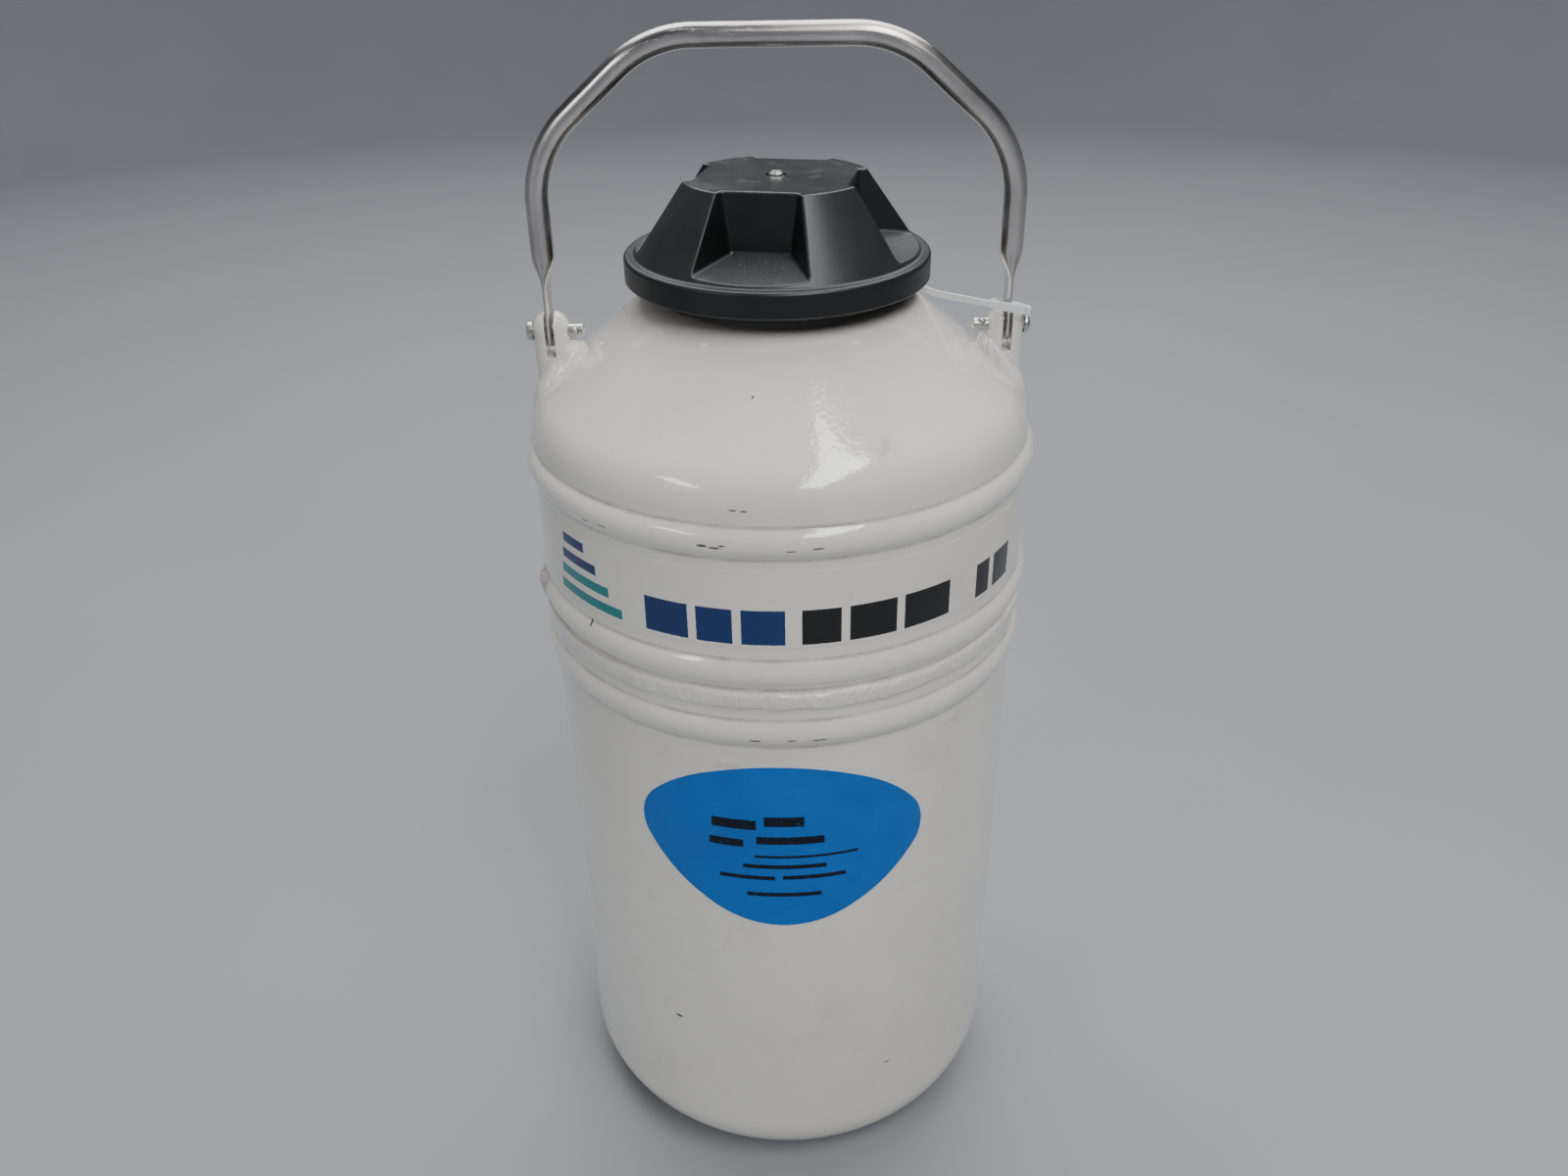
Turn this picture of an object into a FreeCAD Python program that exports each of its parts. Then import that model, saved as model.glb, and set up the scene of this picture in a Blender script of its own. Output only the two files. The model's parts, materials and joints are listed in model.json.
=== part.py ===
import FreeCAD, Part
import math
import os
import Sketcher

os.makedirs("parts", exist_ok=True)
doc = FreeCAD.newDocument("Dewar")
V = FreeCAD.Vector

# ---------------------------------------------------------------- sizes, mm
# +Z is up, the base stands on z = 0, and X runs along the two handle pins.
SIZES = {
    # outer shell
    "shell_r": 125.0, "shell_wall": 2.5, "corner_r": 36.0, "recess_r": 70.0,
    "recess_rise": 6.0, "seam_r": 125.7, "band_r": 126.0, "shoulder_r": 124.8,
    "bead_arc": 10.4, "bead3_low": 309.6, "bead3_top": 324.1, "seam_z": 336.0,
    "bead2_low": 343.0, "bead2_top": 357.9, "bead1_low": 410.5, "bead1_top": 424.8,
    "knuckle_z": 429.2, "knuckle_r": 26.0, "cone_deg": 40.4, "crown_z": 491.0,
    "crown_arc": 14.0, "seam_bead_h": 1.3, "seam_bead_w": 7.0,
    # neck
    "neck_r": 27.7, "neck_wall": 1.0, "neck_foot": 384.0, "neck_top": 496.0,
    "collar_r": 38.0, "collar_foot": 478.0, "collar_fillet": 3.4,
    # inner vessel
    "inner_r": 98.0, "inner_wall": 1.5, "inner_foot": 44.0, "inner_foot_arc": 30.0,
    "inner_top": 392.0, "inner_top_arc": 40.0, "inner_seam_z": 215.0,
    "neck_ring_r": 34.0, "neck_ring_top": 398.0,
    # insulation and evacuation port
    "wrap1_in": 99.6, "wrap1_out": 107.0, "wrap1_foot": 28.0, "wrap1_top": 402.0,
    "wrap2_in": 107.4, "wrap2_out": 115.0, "wrap2_foot": 20.0, "wrap2_top": 410.0,
    "wrap_wall": 7.4, "wrap_hole": 41.0, "neck_wrap_in": 30.0, "neck_wrap_out": 39.0,
    "neck_wrap_low": 411.0, "neck_wrap_high": 475.0, "getter_r": 45.0, "getter_h": 8.0,
    "port_r": 11.0, "port_bore": 4.5, "port_low": 2.6, "port_high": 16.0,
    "cover_r": 13.5, "cover_low": 1.2,
    # handle brackets and pins
    "pin_x": 112.0, "pin_z": 473.3, "lug_r": 9.0, "lug_dome_z": 1.3, "lug_drop": 45.0,
    "slot_w": 4.7, "slot_deep": 11.5, "pin_r": 3.15, "lug_bore": 3.15,
    "head_r": 4.6, "head_t": 2.9, "head_crown": 1.9, "pin_reach": 7.5, "ball_in": 2.8,
    "ball_r": 1.75, "ball_centre": 2.15, "ball_bore": 1.8, "weld_along": 18.0, "weld_across": 15.5,
    "weld_high": 9.5, "weld_inset": 3.0,
    # handle
    "tube_r": 5.55, "tube_bore": 4.3, "flat_t": 2.9, "flat_w": 15.6, "eye_r": 3.25,
    "flat_end": 23.0, "round_start": 37.0, "leg_h": 84.5, "top_half": 56.0,
    "top_h": 133.6, "low_bend": 53.0, "top_bend": 54.0, "leg_x": 112.4,
    # cap
    "cap_turn": 11.5, "rim_r": 73.5, "rim_low": 500.0, "rim_top": 512.3, "cone_low_r": 68.8,
    "cone_top_r": 44.6, "cap_top": 546.5, "cap_wall": 3.0, "pocket_d": 36.5,
    "pocket_corner": 2.4, "pocket_foot": 2.0, "rim_blend": 1.6, "cap_edge": 1.3,
    "pocket_half": 13.9, "pocket_floor": 518.8, "pocket_flare": 28.3, "pocket_draft": 13.2,
    "floor_fall": 9.2, "disc_r": 71.0, "disc_foot": 64.0,
    "core_r": 26.0, "core_low": 455.5, "foam_r": 30.0, "bolt_r": 2.5, "dimple_r": 5.0,
    "dimple_deep": 1.6, "nut_r": 4.6, "nut_h": 4.0, "washer_r": 6.0, "washer_t": 1.0,
    # label and band
    "film": 0.25, "label_half": 70.6, "label_rise": 51.4, "label_z": 246.2,
    "mark_low": 365.5, "mark_top": 404.5, "mark_half_deg": 61.0,
    # strap
    "strap_h": 3.6, "strap_t": 1.2, "loop_r": 43.4, "loop_z": 493.25, "ring_x": 8.3,
    "ring_y": 9.6, "ring_z": 485.6,
}


class Size:
    """A number together with the spreadsheet expression that drives it."""

    def __init__(self, value, text):
        self.value = float(value)
        self.text = text

    def __add__(self, other):
        other = size(other)
        return Size(self.value + other.value, "(%s + %s)" % (self.text, other.text))

    def __sub__(self, other):
        other = size(other)
        return Size(self.value - other.value, "(%s - %s)" % (self.text, other.text))

    def __mul__(self, other):
        other = size(other)
        return Size(self.value * other.value, "(%s * %s)" % (self.text, other.text))

    def __truediv__(self, other):
        other = size(other)
        return Size(self.value / other.value, "(%s / %s)" % (self.text, other.text))

    def __neg__(self):
        return Size(-self.value, "(-%s)" % self.text)


def size(number):
    """Turn a plain number into a Size, and leave a Size as it is."""
    if isinstance(number, Size):
        return number
    return Size(number, "%r" % float(number))


def trig(name, angle):
    """sin, cos or tan of a Size in degrees."""
    value = getattr(math, name)(math.radians(angle.value))
    return Size(value, "%s(%s * 1deg)" % (name, angle.text))


def make_sheet():
    """Write every size into the spreadsheet and return them as Sizes."""
    sheet = doc.addObject("Spreadsheet::Sheet", "Sheet")
    table = {}
    for row, (name, value) in enumerate(SIZES.items(), start=1):
        sheet.set("A%d" % row, name)
        sheet.set("B%d" % row, repr(value))
        sheet.setAlias("B%d" % row, name)
        table[name] = Size(value, "Sheet.%s" % name)
    doc.recompute()
    return table


D = make_sheet()
NODES = []


# ---------------------------------------------------------------- helpers
def bind(obj, prop, amount):
    """Drive one property of obj from the sheet."""
    obj.setExpression(prop, size(amount).text)


def base_plane(body, role):
    """The body's own origin plane or axis with this role."""
    return [item for item in body.Origin.OriginFeatures if item.Role == role][0]


def add_edge(sketch, start, end, radius):
    """A line, or an arc: radius > 0 turns left of travel, < 0 turns right."""
    a = V(start[0].value, start[1].value, 0)
    b = V(end[0].value, end[1].value, 0)
    if radius is None:
        sketch.addGeometry(Part.LineSegment(a, b), False)
        return 1, 2
    reach = abs(radius.value)
    chord = b - a
    left = V(-chord.y, chord.x, 0).normalize()
    height = math.sqrt(reach ** 2 - (chord.Length / 2) ** 2)
    turns_left = radius.value > 0
    centre = (a + b) * 0.5 + left * (height if turns_left else -height)
    first, last = (a, b) if turns_left else (b, a)
    from_angle = math.atan2(first.y - centre.y, first.x - centre.x)
    to_angle = math.atan2(last.y - centre.y, last.x - centre.x)
    circle = Part.Circle(centre, V(0, 0, 1), reach)
    sketch.addGeometry(Part.ArcOfCircle(circle, from_angle, to_angle), False)
    return (1, 2) if turns_left else (2, 1)


def pin_point(sketch, geo, pos, point):
    """Hold one vertex at its sheet-driven coordinates."""
    for kind, amount, axis in (("DistanceX", point[0], -2), ("DistanceY", point[1], -1)):
        if amount.value == 0:
            sketch.addConstraint(Sketcher.Constraint("PointOnObject", geo, pos, axis))
            continue
        args = (kind, -1, 1, geo, pos, amount.value)
        index = sketch.addConstraint(Sketcher.Constraint(*args))
        sketch.setExpression("Constraints[%d]" % index, amount.text)


def outline(body, name, plane, points):
    """A closed sketch; each point is (x, y) or (x, y, radius of the edge that follows)."""
    sketch = body.newObject("Sketcher::SketchObject", name)
    sketch.AttachmentSupport = (base_plane(body, plane), "")
    sketch.MapMode = "FlatFace"
    corners = [(size(p[0]), size(p[1])) for p in points]
    radii = [size(p[2]) if len(p) > 2 else None for p in points]
    count = len(points)
    ends = []
    for n in range(count):
        ends.append(add_edge(sketch, corners[n], corners[(n + 1) % count], radii[n]))
    for n in range(count):
        after = (n + 1) % count
        join = Sketcher.Constraint("Coincident", n, ends[n][1], after, ends[after][0])
        sketch.addConstraint(join)
    for n in range(count):
        pin_point(sketch, n, ends[n][0], corners[n])
        if radii[n] is not None:
            round_to = Sketcher.Constraint("Radius", n, abs(radii[n].value))
            index = sketch.addConstraint(round_to)
            text = radii[n].text if radii[n].value > 0 else "-%s" % radii[n].text
            sketch.setExpression("Constraints[%d]" % index, text)
    return sketch


def circle_sketch(body, name, plane, x, y, radius):
    """One driven circle on an origin plane."""
    sketch = body.newObject("Sketcher::SketchObject", name)
    sketch.AttachmentSupport = (base_plane(body, plane), "")
    sketch.MapMode = "FlatFace"
    x, y, radius = size(x), size(y), size(radius)
    sketch.addGeometry(Part.Circle(V(x.value, y.value, 0), V(0, 0, 1), radius.value), False)
    pin_point(sketch, 0, 3, (x, y))
    index = sketch.addConstraint(Sketcher.Constraint("Radius", 0, radius.value))
    sketch.setExpression("Constraints[%d]" % index, radius.text)
    return sketch


def new_body(name):
    """An empty body whose label is its node name."""
    body = doc.addObject("PartDesign::Body", name)
    body.Label = name
    return body


def revolve(name, points, axis="V_Axis"):
    """A body turned from a closed outline in the XZ plane."""
    body = new_body(name)
    sketch = outline(body, name + "_outline", "XZ_Plane", points)
    turn = body.newObject("PartDesign::Revolution", name + "_turn")
    turn.Profile = sketch
    turn.ReferenceAxis = (sketch, [axis])
    turn.Angle = 360
    sketch.Visibility = False
    return body


def pad(body, sketch, name, length, symmetric=False, reverse=False):
    """Extrude a sketch by a driven length."""
    feature = body.newObject("PartDesign::Pad", name)
    feature.Profile = sketch
    bind(feature, "Length", length)
    feature.SideType = "Symmetric" if symmetric else "One side"
    feature.Reversed = reverse
    return feature


def pocket(body, sketch, name, length, symmetric=True, reverse=False):
    """Cut a sketch out by a driven length."""
    feature = body.newObject("PartDesign::Pocket", name)
    feature.Profile = sketch
    bind(feature, "Length", length)
    feature.SideType = "Symmetric" if symmetric else "One side"
    feature.Reversed = reverse
    return feature


def node(obj, name=None):
    """Mark an object as a finished node."""
    if name:
        obj.Label = name
    NODES.append(obj)
    return obj


def cut(name, base, tool):
    """base minus tool."""
    result = doc.addObject("Part::Cut", name)
    result.Base = base
    result.Tool = tool
    return result


def common(name, base, tool):
    """What base and tool share."""
    result = doc.addObject("Part::Common", name)
    result.Base = base
    result.Tool = tool
    return result


def place(obj, x=0.0, y=0.0, z=0.0, axis=(0, 0, 1), angle=0.0, turn=None):
    """Put a finished object in the row, with its position driven by the sheet."""
    start = (size(x).value, size(y).value, size(z).value)
    turn = turn or FreeCAD.Rotation(V(*axis), angle)
    obj.Placement = FreeCAD.Placement(V(*start), turn)
    for letter, amount in (("x", x), ("y", y), ("z", z)):
        if isinstance(amount, Size):
            bind(obj, "Placement.Base.%s" % letter, amount)
    return obj


# ---------------------------------------------------------------- outer shell
def dome_points():
    """Key points of the shoulder: end of the knuckle and both ends of the crown arc."""
    sine, cosine = trig("sin", D["cone_deg"]), trig("cos", D["cone_deg"])
    slope = trig("tan", D["cone_deg"])
    centre_r = D["shoulder_r"] - D["knuckle_r"]
    knuckle = (centre_r + D["knuckle_r"] * sine, D["knuckle_z"] + D["knuckle_r"] * cosine)
    meet_r = knuckle[0] - (D["crown_z"] - knuckle[1]) / slope
    reach = D["crown_arc"] * trig("tan", D["cone_deg"] / 2.0)
    low = (meet_r + reach * cosine, D["crown_z"] - reach * sine)
    return knuckle, low, (meet_r - reach, D["crown_z"])


def dome_inner_points():
    """The same points on the inside of the wall."""
    sine, cosine = trig("sin", D["cone_deg"]), trig("cos", D["cone_deg"])
    wall = D["shell_wall"]
    knuckle, low, crown = dome_points()
    inside = []
    for r, z in (knuckle, low):
        inside.append((r - wall * sine, z - wall * cosine))
    return inside[0], inside[1], (crown[0], crown[1] - wall)


def make_lower_shell():
    """Side wall, lower bead, rounded foot and the raised base, with the port hole."""
    wall = D["shell_wall"]
    foot_r = D["shell_r"] - D["corner_r"]
    points = [
        (D["port_r"], D["recess_rise"]),
        (D["recess_r"] - 9.0, D["recess_rise"]),
        (D["recess_r"], 0.0),
        (foot_r, 0.0, D["corner_r"]),
        (D["shell_r"], D["corner_r"]),
        (D["shell_r"], D["bead3_low"], D["bead_arc"]),
        (D["seam_r"], D["bead3_top"]),
        (D["seam_r"], D["seam_z"]),
        (D["seam_r"] - wall, D["seam_z"]),
        (D["seam_r"] - wall, D["bead3_top"], -D["bead_arc"]),
        (D["shell_r"] - wall, D["bead3_low"]),
        (D["shell_r"] - wall, D["corner_r"], -(D["corner_r"] - wall)),
        (foot_r, wall),
        (D["recess_r"] + 1.0, wall),
        (D["recess_r"] - 8.0, D["recess_rise"] + wall),
        (D["port_r"], D["recess_rise"] + wall),
    ]
    return node(revolve("outer_shell_lower", points))


def make_upper_shell():
    """Two beads, the plain band between them, the shoulder and the crown."""
    wall = D["shell_wall"]
    knuckle, low, crown = dome_points()
    knuckle_in, low_in, crown_in = dome_inner_points()
    points = [
        (D["seam_r"], D["seam_z"]),
        (D["seam_r"], D["bead2_low"], D["bead_arc"]),
        (D["band_r"], D["bead2_top"]),
        (D["band_r"], D["bead1_low"], D["bead_arc"] - 1.2),
        (D["shoulder_r"], D["bead1_top"]),
        (D["shoulder_r"], D["knuckle_z"], D["knuckle_r"]),
        knuckle,
        (low[0], low[1], D["crown_arc"]),
        crown,
        (D["collar_r"], D["crown_z"]),
        (D["collar_r"], D["crown_z"] - wall),
        (crown_in[0], crown_in[1], -(D["crown_arc"] - wall)),
        low_in,
        (knuckle_in[0], knuckle_in[1], -(D["knuckle_r"] - wall)),
        (D["shoulder_r"] - wall, D["knuckle_z"]),
        (D["shoulder_r"] - wall, D["bead1_top"], -(D["bead_arc"] - 1.2)),
        (D["band_r"] - wall, D["bead1_low"]),
        (D["band_r"] - wall, D["bead2_top"], -D["bead_arc"]),
        (D["seam_r"] - wall, D["bead2_low"]),
        (D["seam_r"] - wall, D["seam_z"]),
    ]
    return node(revolve("outer_shell_upper", points))


def ring_bead(name, radius, middle, width, height):
    """A weld bead with a rounded crest, lying on a cylinder."""
    arc = (width * width / 4.0 + height * height) / (height * 2.0)
    points = [
        (radius, middle - width / 2.0, arc),
        (radius, middle + width / 2.0),
    ]
    return node(revolve(name, points))


def make_dome_core(name):
    """A solid plug with the outside shape of the shoulder, used only to trim."""
    knuckle, low, crown = dome_points()
    points = [
        (0.0, D["bead1_top"] - 30.0),
        (D["shoulder_r"], D["bead1_top"] - 30.0),
        (D["shoulder_r"], D["knuckle_z"], D["knuckle_r"]),
        knuckle,
        (low[0], low[1], D["crown_arc"]),
        crown,
        (0.0, D["crown_z"]),
    ]
    return revolve(name, points)


# ---------------------------------------------------------------- neck
def make_neck():
    """Collar through the crown, its weld, the neck tube and the ring on the inner vessel."""
    tube_r = D["neck_r"] + D["neck_wall"]
    node(revolve("neck_collar", [
        (tube_r, D["collar_foot"]),
        (D["collar_r"], D["collar_foot"]),
        (D["collar_r"], D["neck_top"]),
        (tube_r, D["neck_top"]),
    ]))
    node(revolve("collar_weld", [
        (D["collar_r"], D["crown_z"]),
        (D["collar_r"] + D["collar_fillet"], D["crown_z"]),
        (D["collar_r"], D["crown_z"] + D["collar_fillet"]),
    ]))
    node(revolve("neck_tube", [
        (D["neck_r"], D["neck_foot"]),
        (tube_r, D["neck_foot"]),
        (tube_r, D["neck_top"]),
        (D["neck_r"], D["neck_top"]),
    ]))
    node(revolve("inner_neck_ring", [
        (tube_r, D["neck_foot"]),
        (D["neck_ring_r"], D["neck_foot"]),
        (D["neck_ring_r"], D["neck_ring_top"]),
        (tube_r, D["neck_ring_top"]),
    ]))


# ---------------------------------------------------------------- inner vessel
def make_inner_vessel():
    """The vessel that holds the liquid, in two halves, with the weld between them."""
    radius, wall = D["inner_r"], D["inner_wall"]
    foot_arc, top_arc = D["inner_foot_arc"], D["inner_top_arc"]
    foot, top, seam = D["inner_foot"], D["inner_top"], D["inner_seam_z"]
    node(revolve("inner_vessel_lower", [
        (0.0, foot),
        (radius - foot_arc, foot, foot_arc),
        (radius, foot + foot_arc),
        (radius, seam),
        (radius - wall, seam),
        (radius - wall, foot + foot_arc, -(foot_arc - wall)),
        (radius - foot_arc, foot + wall),
        (0.0, foot + wall),
    ]))
    node(revolve("inner_vessel_upper", [
        (radius, seam),
        (radius, top - top_arc, top_arc),
        (radius - top_arc, top),
        (D["neck_ring_r"], top),
        (D["neck_ring_r"], top - wall),
        (radius - top_arc, top - wall, -(top_arc - wall)),
        (radius - wall, top - top_arc),
        (radius - wall, seam),
    ]))
    ring_bead("inner_girth_weld", radius, seam, size(5.0), size(1.1))


def make_wrap(name, inside, outside, foot, top, low_arc, top_arc):
    """One layer of foil and paper insulation, open round the neck."""
    wall = D["wrap_wall"]
    low_in, top_in = low_arc - wall, top_arc - wall
    points = [
        (0.0, foot),
        (outside - low_arc, foot, low_arc),
        (outside, foot + low_arc),
        (outside, top - top_arc, top_arc),
        (outside - top_arc, top),
        (D["wrap_hole"], top),
        (D["wrap_hole"], top - wall),
        (inside - top_in, top - wall, -top_in),
        (inside, top - wall - top_in),
        (inside, foot + wall + low_in, -low_in),
        (inside - low_in, foot + wall),
        (0.0, foot + wall),
    ]
    return node(revolve(name, points))


def make_insulation():
    """Two nested wraps, the sleeve round the neck and the adsorbent pack."""
    low_arc, top_arc = D["inner_foot_arc"], D["inner_top_arc"]
    make_wrap("insulation_inner", D["wrap1_in"], D["wrap1_out"], D["wrap1_foot"],
              D["wrap1_top"], low_arc + 5.0, top_arc + 5.0)
    make_wrap("insulation_outer", D["wrap2_in"], D["wrap2_out"], D["wrap2_foot"],
              D["wrap2_top"], low_arc + 12.0, top_arc + 12.0)
    node(revolve("insulation_neck", [
        (D["neck_wrap_in"], D["neck_wrap_low"]),
        (D["neck_wrap_out"], D["neck_wrap_low"]),
        (D["neck_wrap_out"], D["neck_wrap_high"]),
        (D["neck_wrap_in"], D["neck_wrap_high"]),
    ]))
    node(revolve("adsorbent_pack", [
        (0.0, D["inner_foot"] - D["getter_h"]),
        (D["getter_r"], D["inner_foot"] - D["getter_h"]),
        (D["getter_r"], D["inner_foot"]),
        (0.0, D["inner_foot"]),
    ]))


def make_port():
    """The evacuation port in the raised base: tube, plug, seal ring and dust cover."""
    bore, low = D["port_bore"], D["port_low"]
    plug_r = bore - 0.1
    node(revolve("vacuum_port", [
        (bore, low),
        (D["port_r"], low),
        (D["port_r"], D["port_high"]),
        (bore, D["port_high"]),
    ]))
    node(revolve("port_plug", [
        (0.0, low + 0.4),
        (plug_r, low + 0.4),
        (plug_r, low + 3.2),
        (plug_r - 0.9, low + 3.2),
        (plug_r - 0.9, low + 4.2),
        (plug_r, low + 4.2),
        (plug_r, low + 11.0),
        (0.0, low + 11.0),
    ]))
    seal = doc.addObject("Part::Torus", "port_seal")
    bind(seal, "Radius1", D["port_bore"] - 0.5)
    bind(seal, "Radius2", size(0.48))
    place(seal, z=low + 3.7)
    node(seal, "port_seal")
    node(revolve("port_cover", [
        (0.0, D["cover_low"]),
        (D["cover_r"], D["cover_low"]),
        (D["cover_r"], D["recess_rise"]),
        (D["port_r"], D["recess_rise"]),
        (D["port_r"], low),
        (0.0, low),
    ]))


# ---------------------------------------------------------------- handle brackets
def lug_blank(name, side):
    """The full bullet-shaped bar, standing on the pin axis and running into the shoulder."""
    blank = revolve(name, [
        (0.0, -D["lug_drop"]),
        (D["lug_r"], -D["lug_drop"]),
        (D["lug_r"], D["lug_dome_z"], D["lug_r"]),
        (0.0, D["lug_dome_z"] + D["lug_r"]),
    ])
    place(blank, x=D["pin_x"] * side, z=D["pin_z"])
    return blank


def make_bracket(name, side):
    """One forked lug, trimmed to the shoulder it is welded to."""
    blank = lug_blank(name + "_bar", side)
    half = D["slot_w"] / 2.0
    above = D["lug_r"] * 2.0
    slot = outline(blank, name + "_slot_outline", "XZ_Plane", [
        (-half, -D["slot_deep"]),
        (half, -D["slot_deep"]),
        (half, above),
        (-half, above),
    ])
    pocket(blank, slot, name + "_slot", D["lug_r"] * 3.0)
    hole = circle_sketch(blank, name + "_hole_outline", "YZ_Plane", 0.0, 0.0, D["lug_bore"])
    pocket(blank, hole, name + "_hole", D["lug_r"] * 3.0)
    core = make_dome_core(name + "_trim")
    return node(cut(name, blank, core), name)


def make_bracket_weld(name, side):
    """The thick fillet weld round a lug's foot."""
    knuckle = dome_points()[0]
    centre_x = D["pin_x"] - D["weld_inset"]
    surface = knuckle[1] + (knuckle[0] - centre_x) * trig("tan", D["cone_deg"])
    blob = doc.addObject("Part::Ellipsoid", name + "_blob")
    bind(blob, "Radius1", D["weld_high"])
    bind(blob, "Radius2", D["weld_along"])
    bind(blob, "Radius3", D["weld_across"])
    blob.Angle1, blob.Angle2, blob.Angle3 = -90, 90, 360
    place(blob, x=centre_x * side, z=surface, axis=(0, 1, 0), angle=side * 44.0)
    trimmed = cut(name + "_open", blob, make_dome_core(name + "_trim"))
    return node(cut(name, trimmed, lug_blank(name + "_bar", side)), name)


def make_pin(name, side, tilt, domed):
    """A detent pin: head outboard, shank through the lug, ball near the inboard end."""
    inner = D["pin_x"] - D["lug_r"]
    outer = D["pin_x"] + D["lug_r"]
    tip = inner - D["pin_reach"]
    chamfer = 0.8
    points = [
        (tip * side, 0.0),
        (tip * side, D["pin_r"] - chamfer),
        ((tip + chamfer) * side, D["pin_r"]),
        (outer * side, D["pin_r"]),
        (outer * side, D["head_r"]),
    ]
    if domed:
        crown = D["head_crown"]
        arc = (D["head_r"] * D["head_r"] + crown * crown) / (crown * 2.0)
        points += [
            ((outer + D["head_t"] - 1.4) * side, D["head_r"], arc * -side),
            ((outer + D["head_t"] - 1.4 + crown) * side, 0.0),
        ]
    else:
        points += [
            ((outer + D["head_t"] - 0.7) * side, D["head_r"]),
            ((outer + D["head_t"]) * side, D["head_r"] - 1.0),
            ((outer + D["head_t"]) * side, 0.0),
        ]
    body = revolve(name, points, "H_Axis")
    centre = (inner - D["ball_in"]) * side
    seat = circle_sketch(body, name + "_seat_outline", "XZ_Plane", centre, 0.0, D["ball_bore"])
    pocket(body, seat, name + "_seat", D["pin_r"] * 2.0, symmetric=False, reverse=True)
    back = circle_sketch(body, name + "_well_outline", "XZ_Plane", centre, 0.0, D["ball_bore"])
    pocket(body, back, name + "_well", size(2.0), symmetric=False)
    place(body, z=D["pin_z"], axis=(1, 0, 0), angle=tilt)
    return node(body)


def make_detent(side_name, side, tilt):
    """The ball that keeps a pin in, and the spring under it."""
    centre_x = (D["pin_x"] - D["lug_r"] - D["ball_in"]) * side
    turn = math.radians(tilt)
    toward = V(0, -math.cos(turn), -math.sin(turn))
    ball = doc.addObject("Part::Sphere", "detent_ball_" + side_name)
    bind(ball, "Radius", D["ball_r"])
    place(ball, x=centre_x, y=D["ball_centre"] * toward.y,
          z=D["pin_z"] + D["ball_centre"] * toward.z)
    node(ball, "detent_ball_" + side_name)
    spring = new_body("detent_spring_" + side_name)
    wire = circle_sketch(spring, "spring_wire_" + side_name, "XY_Plane",
                         0.0, 0.0, D["ball_bore"] - 0.3)
    pad(spring, wire, "spring_run_" + side_name, size(2.5))
    bore = circle_sketch(spring, "spring_bore_" + side_name, "XY_Plane",
                         0.0, 0.0, D["ball_bore"] - 0.9)
    pocket(spring, bore, "spring_hole_" + side_name, size(2.5), symmetric=False, reverse=True)
    start = toward * -2.0
    spring.Placement = FreeCAD.Placement(
        V(centre_x.value, start.y, D["pin_z"].value + start.z),
        FreeCAD.Rotation(V(0, 0, 1), toward))
    bind(spring, "Placement.Base.x", centre_x)
    return node(spring)


# ---------------------------------------------------------------- handle
def fillet_arc(before, corner, after, radius):
    """Tangent points and middle of the arc that rounds one corner of a path."""
    into = (before - corner).normalize()
    out = (after - corner).normalize()
    angle = into.getAngle(out)
    reach = radius / math.tan(angle / 2)
    first, last = corner + into * reach, corner + out * reach
    middle_way = (into + out).normalize()
    centre = corner + middle_way * (radius / math.sin(angle / 2))
    return first, centre - middle_way * radius, last


def bail_path():
    """Straight runs and tangent arcs from one leg to the other, in the XZ plane."""
    value = {key: D[key].value for key in D}
    corners = [
        V(-value["leg_x"], 0, value["round_start"]),
        V(-value["leg_x"], 0, value["leg_h"]),
        V(-value["top_half"], 0, value["top_h"]),
        V(value["top_half"], 0, value["top_h"]),
        V(value["leg_x"], 0, value["leg_h"]),
        V(value["leg_x"], 0, value["round_start"]),
    ]
    bends = [value["low_bend"], value["top_bend"], value["top_bend"], value["low_bend"]]
    edges = []
    here = corners[0]
    for n, radius in enumerate(bends, start=1):
        first, middle, last = fillet_arc(corners[n - 1], corners[n], corners[n + 1], radius)
        edges.append(Part.LineSegment(here, first).toShape())
        edges.append(Part.Arc(first, middle, last).toShape())
        here = last
    edges.append(Part.LineSegment(here, corners[-1]).toShape())
    return Part.Wire(edges)


def stadium(x, z, thick, wide):
    """A flat oval wire lying level, thick along X and wide along Y."""
    radius = thick / 2
    half = wide / 2 - radius
    right = Part.Arc(V(x + radius, -half, z), V(x, -half - radius, z), V(x - radius, -half, z))
    left = Part.Arc(V(x - radius, half, z), V(x, half + radius, z), V(x + radius, half, z))
    edges = [
        right.toShape(),
        Part.LineSegment(V(x - radius, -half, z), V(x - radius, half, z)).toShape(),
        left.toShape(),
        Part.LineSegment(V(x + radius, half, z), V(x + radius, -half, z)).toShape(),
    ]
    return Part.Wire(edges)


def tube_run(path, radius, start):
    """A round bar along the path."""
    section = Part.Wire([Part.makeCircle(radius, start, V(0, 0, 1))])
    return path.makePipeShell([section], True, False)


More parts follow.
